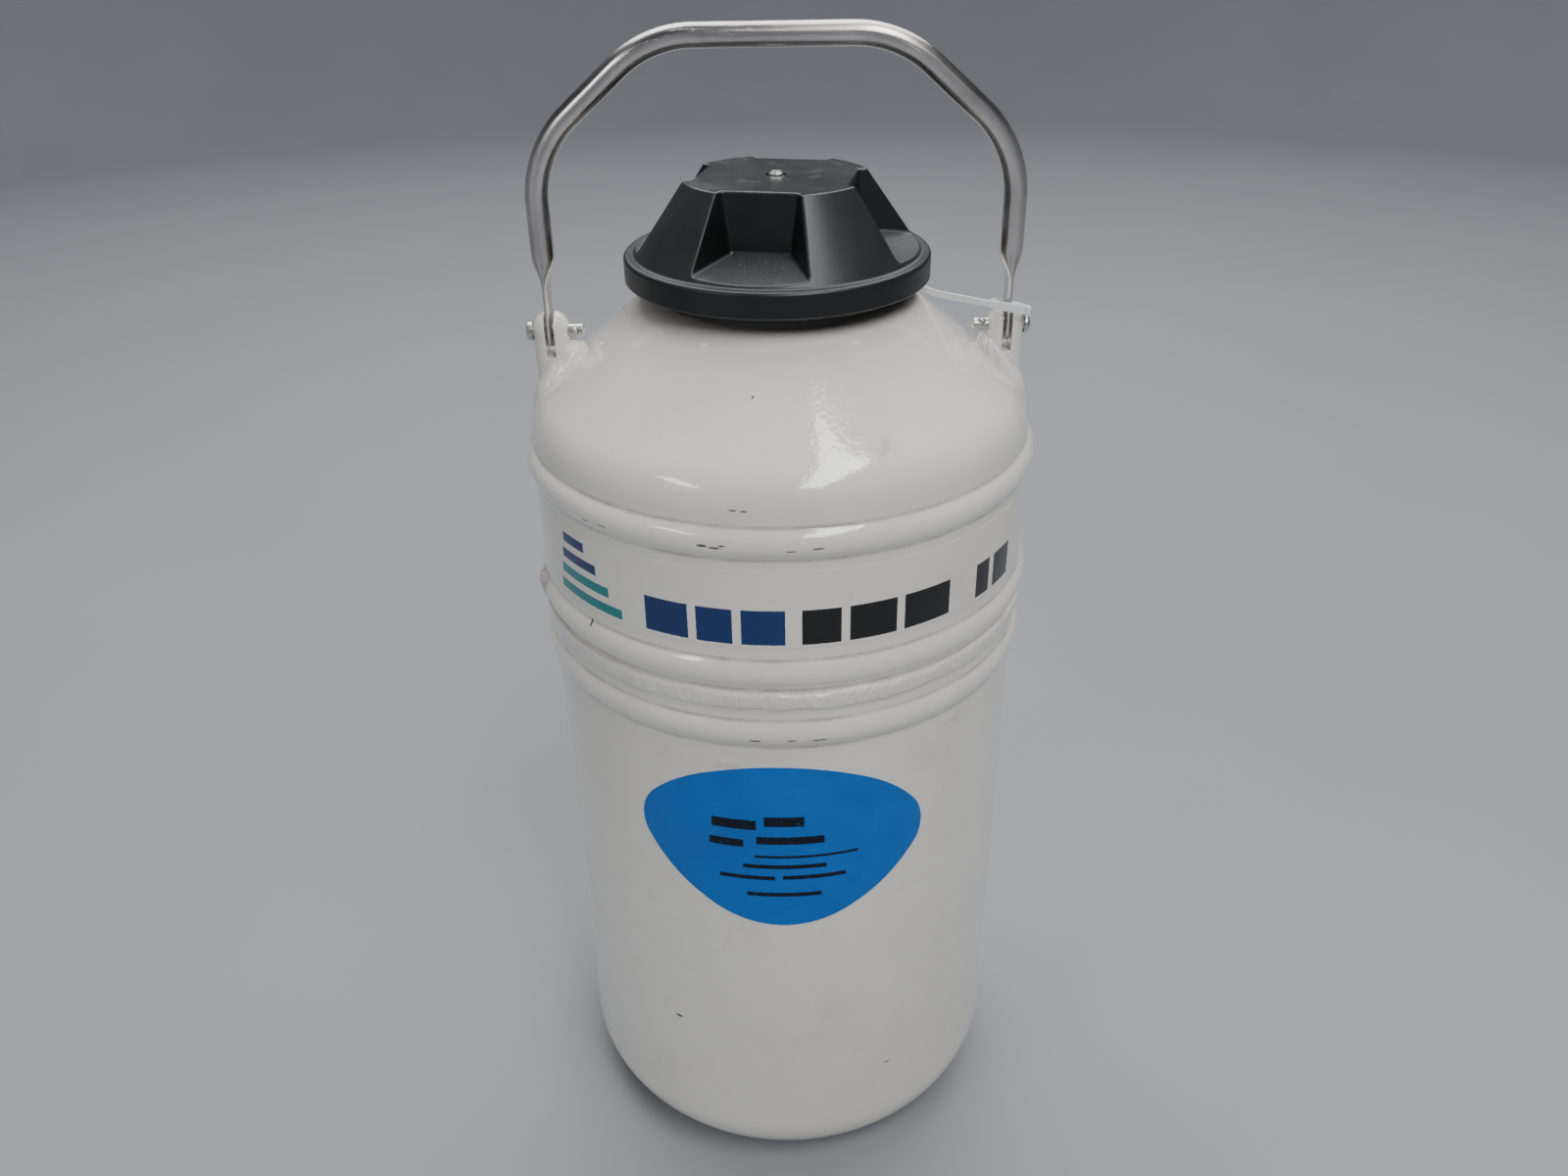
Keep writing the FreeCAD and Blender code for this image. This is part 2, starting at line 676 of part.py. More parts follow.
def pinched_leg(side):
    """The end of one leg: round above, pressed flat below, rounded and drilled at the pin."""
    x = D["leg_x"].value * side
    radius = D["tube_r"].value
    thick, wide = D["flat_t"].value, D["flat_w"].value
    top, low = D["round_start"].value, D["flat_end"].value
    sections = []
    steps = 5
    for n in range(steps + 1):
        share = n / steps
        ease = share * share * (3 - 2 * share)
        z = low + (top - low) * share
        this_thick = thick + (2 * radius - thick) * ease
        this_wide = wide + (2 * radius + 0.02 - wide) * ease
        sections.append(stadium(x, z, this_thick, this_wide))
    pinch = Part.makeLoft(sections, True, False)
    flat = Part.makeBox(thick, wide, low, V(x - thick / 2, -wide / 2, 0))
    eye_end = Part.makeCylinder(wide / 2, thick, V(x - thick / 2, 0, 0), V(1, 0, 0))
    leg = flat.fuse(eye_end).fuse(pinch)
    eye = Part.makeCylinder(D["eye_r"].value, thick * 3, V(x - thick * 1.5, 0, 0), V(1, 0, 0))
    return leg.cut(eye).removeSplitter()


def make_handle():
    """The bail: bent tube with both ends pinched flat."""
    path = bail_path()
    start = V(-D["leg_x"].value, 0, D["round_start"].value)
    tube = tube_run(path, D["tube_r"].value, start)
    bore = tube_run(path, D["tube_bore"].value, start)
    shape = tube.cut(bore).fuse(pinched_leg(-1)).fuse(pinched_leg(1))
    handle = doc.addObject("Part::Feature", "handle_bail")
    handle.Shape = shape.removeSplitter()
    place(handle, z=D["pin_z"])
    return node(handle, "handle_bail")


# ---------------------------------------------------------------- cap
def pocket_tool(name, quarter, grow):
    """A block that presses one finger pocket, or clears the wall behind it.

    The back is upright, the floor falls outwards, and the sides flare and lean apart.
    """
    turn = FreeCAD.Rotation(V(0, 0, 1), 90.0 * quarter - D["cap_turn"].value)
    back, far = D["pocket_d"] - grow, size(95.0)
    floor = D["pocket_floor"] - grow
    fall = (far - back) * trig("tan", D["floor_fall"])
    profile = new_body(name + "_profile")
    side_view = outline(profile, name + "_side_view", "XZ_Plane", [
        (back, size(0.0)),
        (far, -fall),
        (far, size(60.0)),
        (back, size(60.0)),
    ])
    pad(profile, side_view, name + "_width", size(110.0), symmetric=True)
    place(profile, z=floor, turn=turn)
    flare, draft = trig("tan", D["pocket_flare"]), D["pocket_draft"].value
    near, past = size(22.0), size(120.0)
    reach = D["pocket_d"] * trig("cos", D["pocket_draft"])
    near_half = D["pocket_half"] + grow - (reach - near) * flare
    past_half = near_half + (past - near) * flare
    sides = new_body(name + "_sides")
    plan = outline(sides, name + "_plan", "XY_Plane", [
        (near, -near_half),
        (past, -past_half),
        (past, past_half),
        (near, near_half),
    ])
    pad(sides, plan, name + "_rise", size(200.0), symmetric=True)
    place(sides, z=D["pocket_floor"], turn=turn * FreeCAD.Rotation(V(0, 1, 0), -draft))
    return common(name, profile, sides)


def cap_outside(name):
    """Rim band, ledge, cone and top, as one solid."""
    return revolve(name, [
        (0.0, D["rim_low"]),
        (D["rim_r"] - 0.8, D["rim_low"]),
        (D["rim_r"], D["rim_low"] + 0.8),
        (D["rim_r"], D["rim_top"] - 2.0, size(2.0)),
        (D["rim_r"] - 2.0, D["rim_top"]),
        (D["cone_low_r"], D["rim_top"]),
        (D["cone_top_r"], D["cap_top"]),
        (0.0, D["cap_top"]),
    ])


def cap_inside(name):
    """The hollow under the moulded wall."""
    wall = D["cap_wall"]
    return revolve(name, [
        (0.0, D["rim_low"]),
        (D["rim_r"] - wall, D["rim_low"]),
        (D["rim_r"] - wall, D["rim_top"] - wall),
        (D["cone_low_r"] - wall, D["rim_top"] - wall),
        (D["cone_top_r"] - wall, D["cap_top"] - wall),
        (0.0, D["cap_top"] - wall),
    ])


def minus_pockets(name, solid, grow):
    """Take the four finger pockets out of a solid."""
    for quarter in range(4):
        tool = pocket_tool("%s_pocket%d" % (name, quarter), quarter, grow)
        solid = cut("%s_less%d" % (name, quarter), solid, tool)
    return solid


def edge_facts(edge):
    """Middle height, distance from the axis, and lowest and highest vertex of an edge."""
    middle = edge.valueAt((edge.FirstParameter + edge.LastParameter) / 2)
    heights = [vertex.Z for vertex in edge.Vertexes]
    return middle.z, math.hypot(middle.x, middle.y), min(heights), max(heights)


def round_edges(name, base, radius, wanted):
    """Fillet every edge of base that wanted() accepts, given its edge_facts."""
    doc.recompute()
    fillet = doc.addObject("Part::Fillet", name)
    fillet.Base = base
    fillet.Edges = [(number, radius.value, radius.value)
                    for number, edge in enumerate(base.Shape.Edges, start=1)
                    if wanted(*edge_facts(edge))]
    return fillet


def soften_cap(solid):
    """Round the pocket corners, the pocket floors, the foot of the cone and all outer edges."""
    floor, ledge, top = (D[key].value for key in ("pocket_floor", "rim_top", "cap_top"))
    mouth_r, wall_r = D["cone_low_r"].value - 5.5, D["pocket_d"].value + 9.0
    solid = round_edges("cap_corners", solid, D["pocket_corner"],
                        lambda z, r, low, high: high - low > 25.0 and r < wall_r)
    solid = round_edges("cap_floors", solid, D["pocket_foot"],
                        lambda z, r, low, high: ledge + 1.0 < low and high < floor + 1.0
                        and r < mouth_r)
    solid = round_edges("cap_ledge", solid, D["rim_blend"],
                        lambda z, r, low, high: abs(z - ledge) < 0.01
                        and abs(r - D["cone_low_r"].value) < 0.1)
    return round_edges("cap_edges", solid, D["cap_edge"],
                       lambda z, r, low, high: z > ledge + 1.2
                       and (low > top - 0.01 or (r > wall_r and high - low > 15.0)
                            or (high < floor + 1.0 and r > mouth_r)))


def make_cap_shell():
    """The moulded cover with four finger pockets and the screw dimple."""
    outside = soften_cap(minus_pockets("cap_out", cap_outside("cap_outside"), size(0.0)))
    inside = minus_pockets("cap_in", cap_inside("cap_inside"), D["cap_wall"])
    hollow = cut("cap_hollow", outside, inside)
    dimple = revolve("cap_dimple", [
        (0.0, D["cap_top"] - 10.0),
        (D["bolt_r"], D["cap_top"] - 10.0),
        (D["bolt_r"], D["cap_top"] - D["dimple_deep"]),
        (D["dimple_r"], D["cap_top"] - D["dimple_deep"]),
        (D["dimple_r"], D["cap_top"] + 5.0),
        (0.0, D["cap_top"] + 5.0),
    ])
    return node(cut("cap_shell", hollow, dimple), "cap_shell")


def ring_plate(name, hole, radius, low, high):
    """A flat ring between two heights."""
    return node(revolve(name, [
        (hole, low),
        (radius, low),
        (radius, high),
        (hole, high),
    ]))


def make_cap_inner_parts():
    """Base disc, foam fill, foam core, and the bolt stack that holds them together."""
    bolt = D["bolt_r"]
    seat = D["cap_top"] - D["dimple_deep"]
    core_end = D["core_low"]
    node(revolve("cap_base", [
        (bolt, D["neck_top"]),
        (D["disc_foot"], D["neck_top"]),
        (D["disc_r"], D["rim_low"]),
        (bolt, D["rim_low"]),
    ]))
    ring_plate("cap_foam", bolt, D["foam_r"], D["rim_low"], D["cap_top"] - D["cap_wall"])
    node(revolve("neck_core", [
        (bolt, core_end),
        (D["core_r"] - 2.0, core_end),
        (D["core_r"], core_end + 2.0),
        (D["core_r"], D["neck_top"]),
        (bolt, D["neck_top"]),
    ]))
    ring_plate("washer_top", bolt, D["dimple_r"] - 0.3, seat, seat + 0.6)
    ring_plate("washer_bottom", bolt, D["washer_r"], core_end - D["washer_t"], core_end)
    head = seat + 0.6
    node(revolve("cap_bolt", [
        (0.0, core_end - D["washer_t"] - D["nut_h"] - 1.5),
        (bolt, core_end - D["washer_t"] - D["nut_h"] - 1.5),
        (bolt, head),
        (3.4, head),
        (3.4, head + 1.6),
        (2.4, head + 2.6),
        (0.0, head + 2.6),
    ]))
    make_nut(core_end - D["washer_t"] - D["nut_h"])


def make_nut(low):
    """A plain hexagon nut under the core."""
    body = new_body("core_nut")
    points = []
    for corner in range(6):
        turn = math.radians(60 * corner)
        points.append((D["nut_r"] * math.cos(turn), D["nut_r"] * round(math.sin(turn), 12)))
    pad(body, outline(body, "core_nut_hexagon", "XY_Plane", points), "core_nut_rise", D["nut_h"])
    hole = circle_sketch(body, "core_nut_hole_outline", "XY_Plane", 0.0, 0.0, D["bolt_r"])
    pocket(body, hole, "core_nut_hole", D["nut_h"] * 3.0)
    place(body, z=low)
    return node(body)


# ---------------------------------------------------------------- films
def film_sleeve(name, radius, low, high):
    """A thin sleeve standing on the shell, from which a film is cut."""
    return revolve(name, [
        (radius, low),
        (radius + D["film"], low),
        (radius + D["film"], high),
        (radius, high),
    ])


def make_label():
    """The egg-shaped label on the lower shell, set a little crooked."""
    stamp = new_body("label_stamp")
    half, rise = D["label_half"], D["label_rise"]
    sketch = outline(stamp, "label_outline", "XZ_Plane", [
        (half * -0.556, rise * -0.74, size(66.0)),
        (half * 0.556, rise * -0.74, size(86.0)),
        (half * 0.976, rise * -0.12, size(28.5)),
        (half * 0.916, rise * 0.42, size(67.0)),
        (half * 0.489, rise * 0.86, size(92.0)),
        (half * -0.489, rise * 0.86, size(67.0)),
        (half * -0.916, rise * 0.42, size(28.5)),
        (half * -0.976, rise * -0.12, size(86.0)),
    ])
    pad(stamp, sketch, "label_reach", size(200.0))
    place(stamp, x=-2.0, z=D["label_z"], axis=(0, 1, 0), angle=3.0)
    sleeve = film_sleeve("label_sleeve", D["shell_r"], D["label_z"] - 70.0, D["bead3_low"])
    return node(common("front_label", sleeve, stamp), "front_label")


def make_band_mark():
    """The printed film round the front of the band between the upper beads."""
    stamp = new_body("band_stamp")
    half = D["mark_half_deg"]
    x, y = trig("sin", half) * 180.0, trig("cos", half) * -180.0
    sketch = outline(stamp, "band_outline", "XY_Plane", [
        (0.0, 0.0),
        (-x, y),
        (-x, size(-200.0)),
        (x, size(-200.0)),
        (x, y),
    ])
    pad(stamp, sketch, "band_rise", D["mark_top"] - D["mark_low"])
    place(stamp, z=D["mark_low"])
    sleeve = film_sleeve("band_sleeve", D["band_r"], D["bead2_top"], D["bead1_low"])
    return node(common("band_film", sleeve, stamp), "band_film")


# ---------------------------------------------------------------- strap
def band_along(points, height, thick):
    """A flat strap standing on edge along level-ish straight runs."""
    solid = None
    for a, b in zip(points, points[1:]):
        run = b - a
        level = V(run.x, run.y, 0)
        across = V(-run.y, run.x, 0).normalize() * (thick / 2)
        up = V(0, 0, height / 2)
        wire = Part.makePolygon([a - across - up, a + across - up, a + across + up,
                                 a - across + up, a - across - up])
        piece = Part.Face(wire).extrude(run)
        joint = Part.makeCylinder(thick / 2, height, b - up, V(0, 0, 1))
        piece = piece.fuse(joint) if level.Length else piece
        solid = piece if solid is None else solid.fuse(piece)
    return solid


def make_strap():
    """The nylon tie: a loop round the neck collar, a free run, and a loop round one leg."""
    height, thick = D["strap_h"].value, D["strap_t"].value
    loop_r, loop_z = D["loop_r"].value, D["loop_z"].value
    pin_x, ring_z = D["pin_x"].value, D["ring_z"].value
    half_x, half_y = D["ring_x"].value, D["ring_y"].value
    outer = Part.makeCylinder(loop_r, height, V(0, 0, loop_z - height / 2))
    loop = outer.cut(Part.makeCylinder(loop_r - thick, height, V(0, 0, loop_z - height / 2)))
    corner = V(pin_x - half_x, -half_y, ring_z - height / 2)
    ring = Part.makeBox(2 * half_x, 2 * half_y, height, corner)
    bend = 5.0
    ring = ring.makeFillet(bend, [e for e in ring.Edges if abs(e.tangentAt(0).z) > 0.9])
    inset = V(pin_x - half_x + thick, -half_y + thick, ring_z - height / 2)
    hole = Part.makeBox(2 * (half_x - thick), 2 * (half_y - thick), height, inset)
    hole = hole.makeFillet(bend - thick, [e for e in hole.Edges if abs(e.tangentAt(0).z) > 0.9])
    ring = ring.cut(hole)
    middle_r = loop_r - thick / 2
    slant = math.radians(28.1)
    start = V(pin_x - half_x + bend, bend - half_y, ring_z)
    start += V(-math.sin(slant), -math.cos(slant), 0) * (bend - thick * 0.7)
    tangent = math.atan2(start.y, start.x) + math.acos(middle_r / math.hypot(start.x, start.y))
    finish = V(middle_r * math.cos(tangent), middle_r * math.sin(tangent), loop_z)
    way = V(finish.x - start.x, finish.y - start.y, 0)
    run = band_along([
        start,
        start + way * 0.36 + V(0, 0, (loop_z - ring_z) * 0.62),
        start + way * 0.50 + V(0, 0, loop_z - ring_z),
        finish,
    ], height, thick)
    strap = doc.addObject("Part::Feature", "tether_strap")
    strap.Shape = loop.fuse(run).fuse(ring).removeSplitter()
    return node(strap, "tether_strap")


def make_strap_head():
    """The square locking head of the tie, outboard of the leg."""
    head = doc.addObject("Part::Box", "tether_head")
    bind(head, "Length", size(3.2))
    bind(head, "Width", size(5.0))
    bind(head, "Height", size(4.4))
    place(head, x=D["pin_x"] + D["ring_x"], y=-D["ring_y"] + 1.5, z=D["ring_z"] - 2.2)
    return node(head, "tether_head")


# ---------------------------------------------------------------- assembly
make_lower_shell()
make_upper_shell()
ring_bead("girth_weld", D["seam_r"], D["seam_z"], D["seam_bead_w"], D["seam_bead_h"])
make_neck()
make_inner_vessel()
make_insulation()
make_port()
for side_name, side, tilt in (("left", -1.0, -12.0), ("right", 1.0, -50.0)):
    make_bracket("handle_bracket_" + side_name, side)
    make_bracket_weld("bracket_weld_" + side_name, side)
    make_pin("detent_pin_" + side_name, side, tilt, domed=side > 0)
    make_detent(side_name, side, tilt)
make_handle()
make_cap_shell()
make_cap_inner_parts()
make_label()
make_band_mark()
make_strap()
make_strap_head()
doc.recompute()


def check_and_export():
    """Stop on any broken object, then write one STEP file for each node."""
    for obj in doc.Objects:
        if "Invalid" in obj.State or "Error" in obj.State:
            raise RuntimeError("%s is %s" % (obj.Name, obj.State))
    for obj in NODES:
        shape = obj.Shape
        if shape.isNull() or not shape.isValid() or len(shape.Solids) != 1:
            count = 0 if shape.isNull() else len(shape.Solids)
            raise RuntimeError("%s has a bad shape, %d solids" % (obj.Label, count))
        print("%-24s %10.1f mm3  z %7.2f to %7.2f" % (
            obj.Label, shape.Volume, shape.BoundBox.ZMin, shape.BoundBox.ZMax))
        shape.exportStep("parts/%s.step" % obj.Label)


check_and_export()
print(len(NODES), "nodes")
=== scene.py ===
import json
import math

import bmesh
import bpy
import numpy as np
from mathutils import Matrix, Vector


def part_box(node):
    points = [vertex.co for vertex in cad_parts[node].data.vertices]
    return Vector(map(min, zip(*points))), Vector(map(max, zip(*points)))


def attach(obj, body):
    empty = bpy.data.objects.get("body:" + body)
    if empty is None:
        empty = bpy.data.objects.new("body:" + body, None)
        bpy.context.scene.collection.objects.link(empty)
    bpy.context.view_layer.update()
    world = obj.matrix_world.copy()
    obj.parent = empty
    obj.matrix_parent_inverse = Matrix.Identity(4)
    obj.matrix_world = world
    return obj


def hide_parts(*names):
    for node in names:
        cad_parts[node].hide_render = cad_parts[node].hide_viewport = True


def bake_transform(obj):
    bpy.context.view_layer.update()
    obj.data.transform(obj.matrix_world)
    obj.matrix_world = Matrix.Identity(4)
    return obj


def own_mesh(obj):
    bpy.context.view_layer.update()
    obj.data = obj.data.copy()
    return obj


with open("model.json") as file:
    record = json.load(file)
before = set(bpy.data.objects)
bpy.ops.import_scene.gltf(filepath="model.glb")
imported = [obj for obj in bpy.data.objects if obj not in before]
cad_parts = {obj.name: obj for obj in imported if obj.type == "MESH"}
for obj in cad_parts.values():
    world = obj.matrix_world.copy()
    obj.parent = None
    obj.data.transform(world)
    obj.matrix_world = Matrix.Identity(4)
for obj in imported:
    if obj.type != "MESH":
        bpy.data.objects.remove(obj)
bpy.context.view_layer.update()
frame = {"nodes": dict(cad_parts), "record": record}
MM = 0.001

# The vessel's outside, in mm: (r, z) or (r, z, radius of the arc that follows, left turn > 0).
LOWER_OUTSIDE = [
    (11.0, 6.0), (61.0, 6.0), (70.0, 0.0), (89.0, 0.0, 36.0), (125.0, 36.0),
    (125.0, 309.6, 10.4), (125.7, 324.1), (125.7, 336.0),
]
LOWER_INSIDE = [
    (123.2, 336.0), (122.5, 309.6), (122.5, 36.0), (112.8, 12.0), (89.0, 2.5),
    (71.0, 2.5), (62.0, 8.5), (11.0, 8.5),
]
UPPER_OUTSIDE = [
    (125.7, 336.0), (125.7, 343.0, 10.4), (126.0, 357.9), (126.0, 410.5, 9.2),
    (124.8, 424.8), (124.8, 429.2, 26.0), (115.651, 449.0), (70.227, 487.661, 14.0),
    (61.153, 491.0), (38.0, 491.0),
]
UPPER_INSIDE = [
    (38.0, 488.5), (61.2, 488.5), (68.6, 485.8), (114.0, 447.1), (119.5, 441.0),
    (122.3, 429.2), (122.3, 424.8), (123.5, 410.5), (123.5, 357.9), (123.2, 343.0),
    (123.2, 336.0),
]
# Sizes in mm: the pins, the handle, the shell, the nylon tie and the stage.
PIN_X, PIN_Z = 112.0, 473.3
LEG_X, LEG_TOP, BAR_HALF, BAR_TOP = 112.4, 84.5, 56.0, 133.6
TUBE_R, FLAT_HALF_T, FLAT_HALF_W, EYE_R = 5.55, 1.45, 7.8, 3.25
PINCH_LOW, PINCH_LENGTH = 22.0, 16.0
SHELL_R, LOOP_R, LOOP_Z, RING_Z = 126.0, 42.8, 493.25, 485.7
FLOOR_R, WALL_BEND, WALL_TOP = 3300.0, 900.0, 5000.0


# ---------------------------------------------------------------- node trees
class Tree:
    """A small writer for one material's nodes."""

    def __init__(self, name):
        self.material = bpy.data.materials.new(name)
        self.material.use_nodes = True
        self.tree = self.material.node_tree
        self.tree.nodes.clear()
        self.shader = self.add("ShaderNodeBsdfPrincipled")
        output = self.add("ShaderNodeOutputMaterial")
        self.tree.links.new(self.shader.outputs[0], output.inputs["Surface"])
        self.place = self.add("ShaderNodeTexCoord").outputs["Object"]

    def add(self, kind, inputs=None, **props):
        """One node; sockets take either a number or another node's output."""
        item = self.tree.nodes.new(kind)
        for key, value in props.items():
            setattr(item, key, value)
        for key, value in (inputs or {}).items():
            self.put(item.inputs[key], value)
        return item

    def put(self, socket, value):
        if isinstance(value, bpy.types.NodeSocket):
            self.tree.links.new(value, socket)
        else:
            socket.default_value = value

    def set(self, **values):
        """Set shader sockets by name, with _ for a space."""
        for key, value in values.items():
            self.put(self.shader.inputs[key.replace("_", " ")], value)

    def math(self, operation, a, b=0.0):
        return self.add("ShaderNodeMath", {0: a, 1: b}, operation=operation).outputs[0]

    def times(self, a, b):
        return self.math("MULTIPLY", a, b)

    def scaled(self, factors):
        """Object coordinates stretched along each axis."""
        mapped = self.add("ShaderNodeMapping", {"Vector": self.place, "Scale": factors})
        return mapped.outputs["Vector"]

    def noise(self, scale, detail=3.0, rough=0.5, distort=0.0, where=None):
        inputs = {"Vector": where or self.place, "Scale": scale, "Detail": detail,
                  "Roughness": rough, "Distortion": distort}
        return self.add("ShaderNodeTexNoise", inputs).outputs["Fac"]

    def between(self, value, low, high, to_low=0.0, to_high=1.0, smooth=True):
        """Map low..high onto to_low..to_high, clamped."""
        inputs = {"Value": value, "From Min": low, "From Max": high,
                  "To Min": to_low, "To Max": to_high}
        kind = "SMOOTHSTEP" if smooth else "LINEAR"
        return self.add("ShaderNodeMapRange", inputs, interpolation_type=kind).outputs[0]

    def mix(self, factor, a, b):
        """Mix two colours."""
        item = self.add("ShaderNodeMix", data_type="RGBA")
        self.put(item.inputs["Factor"], factor)
        self.put(item.inputs[6], a)
        self.put(item.inputs[7], b)
        return item.outputs[2]

    def polar(self):
        """Azimuth in degrees from the front towards +X, height in mm, and radius in mm."""
        x, y, z = self.add("ShaderNodeSeparateXYZ", {0: self.place}).outputs
        angle = self.math("ARCTAN2", x, self.times(y, -1.0))
        radius = self.math("SQRT", self.math("ADD", self.times(x, x), self.times(y, y)))
        return (self.times(angle, 180.0 / math.pi), self.times(z, 1000.0),
                self.times(radius, 1000.0))

    def spot(self, u, v, centre, half):
        """1 at the middle of an ellipse and 0 at its edge and beyond."""
        a = self.math("DIVIDE", self.math("SUBTRACT", u, centre[0]), half[0])
        b = self.math("DIVIDE", self.math("SUBTRACT", v, centre[1]), half[1])
        reach = self.math("ADD", self.times(a, a), self.times(b, b))
        return self.math("MAXIMUM", self.math("SUBTRACT", 1.0, reach), 0.0)

    def bar(self, u, v, centre, half):
        """1 inside a plain rectangle, with an edge 0.3 mm soft."""
        sides = []
        for axis, middle, reach in ((u, centre[0], half[0]), (v, centre[1], half[1])):
            away = self.math("ABSOLUTE", self.math("SUBTRACT", axis, middle))
            sides.append(self.between(away, reach - 0.15, reach + 0.15, 1.0, 0.0))
        return self.times(*sides)

    def strongest(self, masks):
        """The greatest of several values."""
        masks = iter(masks)
        total = next(masks)
        for mask in masks:
            total = self.math("MAXIMUM", total, mask)
        return total

    def bump(self, height, distance, after=None):
        """Bump from a height, on top of another bump if one is given."""
        inputs = {"Height": height, "Distance": distance, "Strength": 1.0}
        if after is not None:
            inputs["Normal"] = after
        normal = self.add("ShaderNodeBump", inputs).outputs[0]
        self.put(self.shader.inputs["Normal"], normal)
        return normal


def rgb(r, g, b):
    return (r, g, b, 1.0)


# Marks on the enamel: azimuth (degrees from the front), height, half length, half height (mm).
CHIPS = [
    (-15.6, 417.2, 3.0, 0.8), (-13.2, 416.6, 3.4, 0.6), (-11.6, 417.8, 2.0, 0.5),
    (-9.6, 433.2, 2.4, 0.45), (-7.5, 433.0, 2.2, 0.4), (1.7, 416.0, 3.4, 0.4),
    (7.2, 416.8, 4.0, 0.5), (-6.2, 314.9, 4.2, 0.6), (1.5, 315.1, 3.2, 0.5),
    (7.3, 314.7, 5.2, 0.55), (-46.4, 357.4, 0.9, 3.0), (-29.6, 111.4, 3.2, 1.3),
    (26.4, 74.6, 2.4, 0.6), (-7.5, 471.3, 0.8, 1.0), (-44.0, 414.6, 3.0, 0.5),
    (-39.0, 415.4, 4.0, 0.4), (118.0, 417.3, 5.5, 0.6), (160.0, 315.4, 6.0, 0.5),
    (-150.0, 416.8, 4.5, 0.7), (58.0, 12.0, 4.0, 1.4), (-118.0, 9.0, 5.0, 1.2),
]
SMUDGES = [(42.0, 300.0, 12.0, 5.0), (-13.0, 296.0, 9.0, 4.0), (-33.0, 336.0, 16.0, 3.0),
           (24.0, 452.0, 10.0, 6.0), (-140.0, 300.0, 14.0, 6.0), (150.0, 380.0, 10.0, 8.0)]
ENAMEL = rgb(0.800, 0.775, 0.715)
ENAMEL_SHADE = rgb(0.745, 0.715, 0.650)
BARE = rgb(0.090, 0.080, 0.070)


def enamel_base(tree, extra_rough=0.0):
    """Warm white gloss paint: drifting tone, faint grime, orange peel."""
    drift = tree.noise(7.0, 3.0, 0.55)
    grime = tree.between(tree.noise(34.0, 6.0, 0.62, 0.6), 0.50, 0.74)
    colour = tree.mix(tree.between(drift, 0.35, 0.68), ENAMEL, ENAMEL_SHADE)
    colour = tree.mix(tree.times(grime, 0.16), colour, rgb(0.50, 0.46, 0.40))
    smear = tree.noise(16.0, 5.0, 0.6, 0.4, tree.scaled((1.0, 1.0, 0.35)))
    rough = tree.between(smear, 0.3, 0.75, 0.07 + extra_rough, 0.15 + extra_rough)
    peel = tree.noise(420.0, 2.0, 0.5)
    return colour, rough, peel


def marks(tree, angle, height, places):
    """The strongest of several soft elliptical spots, each 1 at its middle."""
    crest_r = 127.0
    return tree.strongest(
        tree.spot(angle, height, (azimuth, z), (math.degrees(half_length / crest_r), half_height))
        for azimuth, z, half_length, half_height in places)


def near_heights(tree, height, heights, inner, outer):
    """1 within inner of any of the heights, fading to 0 at outer."""
    away = (tree.math("ABSOLUTE", tree.math("SUBTRACT", height, z)) for z in heights)
    return tree.strongest(tree.between(gap, inner, outer, 1.0, 0.0) for gap in away)


def enamel(name):
    """The vessel's enamel: chips on the bead crests, a peeled blister, painted shade in the
    creases.
    """
    tree = Tree(name)
    colour, rough, peel = enamel_base(tree)
    angle, height, _ = tree.polar()
    smudge = tree.times(marks(tree, angle, height, SMUDGES),
                        tree.between(tree.noise(90.0, 5.0, 0.7), 0.40, 0.62))
    colour = tree.mix(tree.times(smudge, 0.45), colour, rgb(0.33, 0.31, 0.29))
    ragged = tree.noise(330.0, 5.0, 0.8)
    worn = tree.math("ADD", marks(tree, angle, height, CHIPS), tree.times(ragged, 2.0))
    worn = tree.between(worn, 1.42, 1.52)
    flake = tree.noise(150.0, 5.0, 0.7, 1.0)
    halo = marks(tree, angle, height, [(-73.0, 352.0, 17.0, 16.0)])
    peeled = tree.between(tree.math("ADD", tree.times(halo, 0.55), flake), 0.88, 0.92)
    blister = tree.mix(tree.between(flake, 0.40, 0.60), rgb(0.34, 0.25, 0.21),
                       rgb(0.68, 0.60, 0.56))
    colour = tree.mix(peeled, colour, blister)
    rub = tree.between(tree.noise(58.0, 6.0, 0.7, 0.0, tree.scaled((1.0, 1.0, 2.2))), 0.60, 0.76)
    bead_crests = (417.6, 350.4, 316.8)
    rub = tree.times(rub, near_heights(tree, height, bead_crests, 2.0, 6.0))
    colour = tree.mix(tree.times(rub, 0.30), colour, rgb(0.45, 0.41, 0.36))
    # Painted shade: a darker brown line along each crease above and below the beads.
    creases = (309.0, 324.7, 342.3, 358.5, 410.0, 425.4)
    crease_shade = tree.between(tree.noise(45.0, 5.0, 0.65), 0.35, 0.75, 0.16, 0.60)
    crease_shade = tree.times(crease_shade, near_heights(tree, height, creases, 0.1, 1.6))
    colour = tree.mix(crease_shade, colour, rgb(0.20, 0.18, 0.16))
    colour = tree.mix(worn, colour, BARE)
    rough = tree.math("MAXIMUM", rough, tree.times(worn, 0.6))
    rough = tree.math("MAXIMUM", rough, tree.times(peeled, 0.55))
    bumped = tree.bump(tree.math("SUBTRACT", peel, tree.times(worn, 3.0)), 0.00010)
    tree.bump(tree.times(peeled, flake), 0.0012, bumped)
    tree.set(Base_Color=colour, Roughness=rough, Coat_Weight=0.5, Coat_Roughness=0.02, IOR=1.50)
    return tree.material


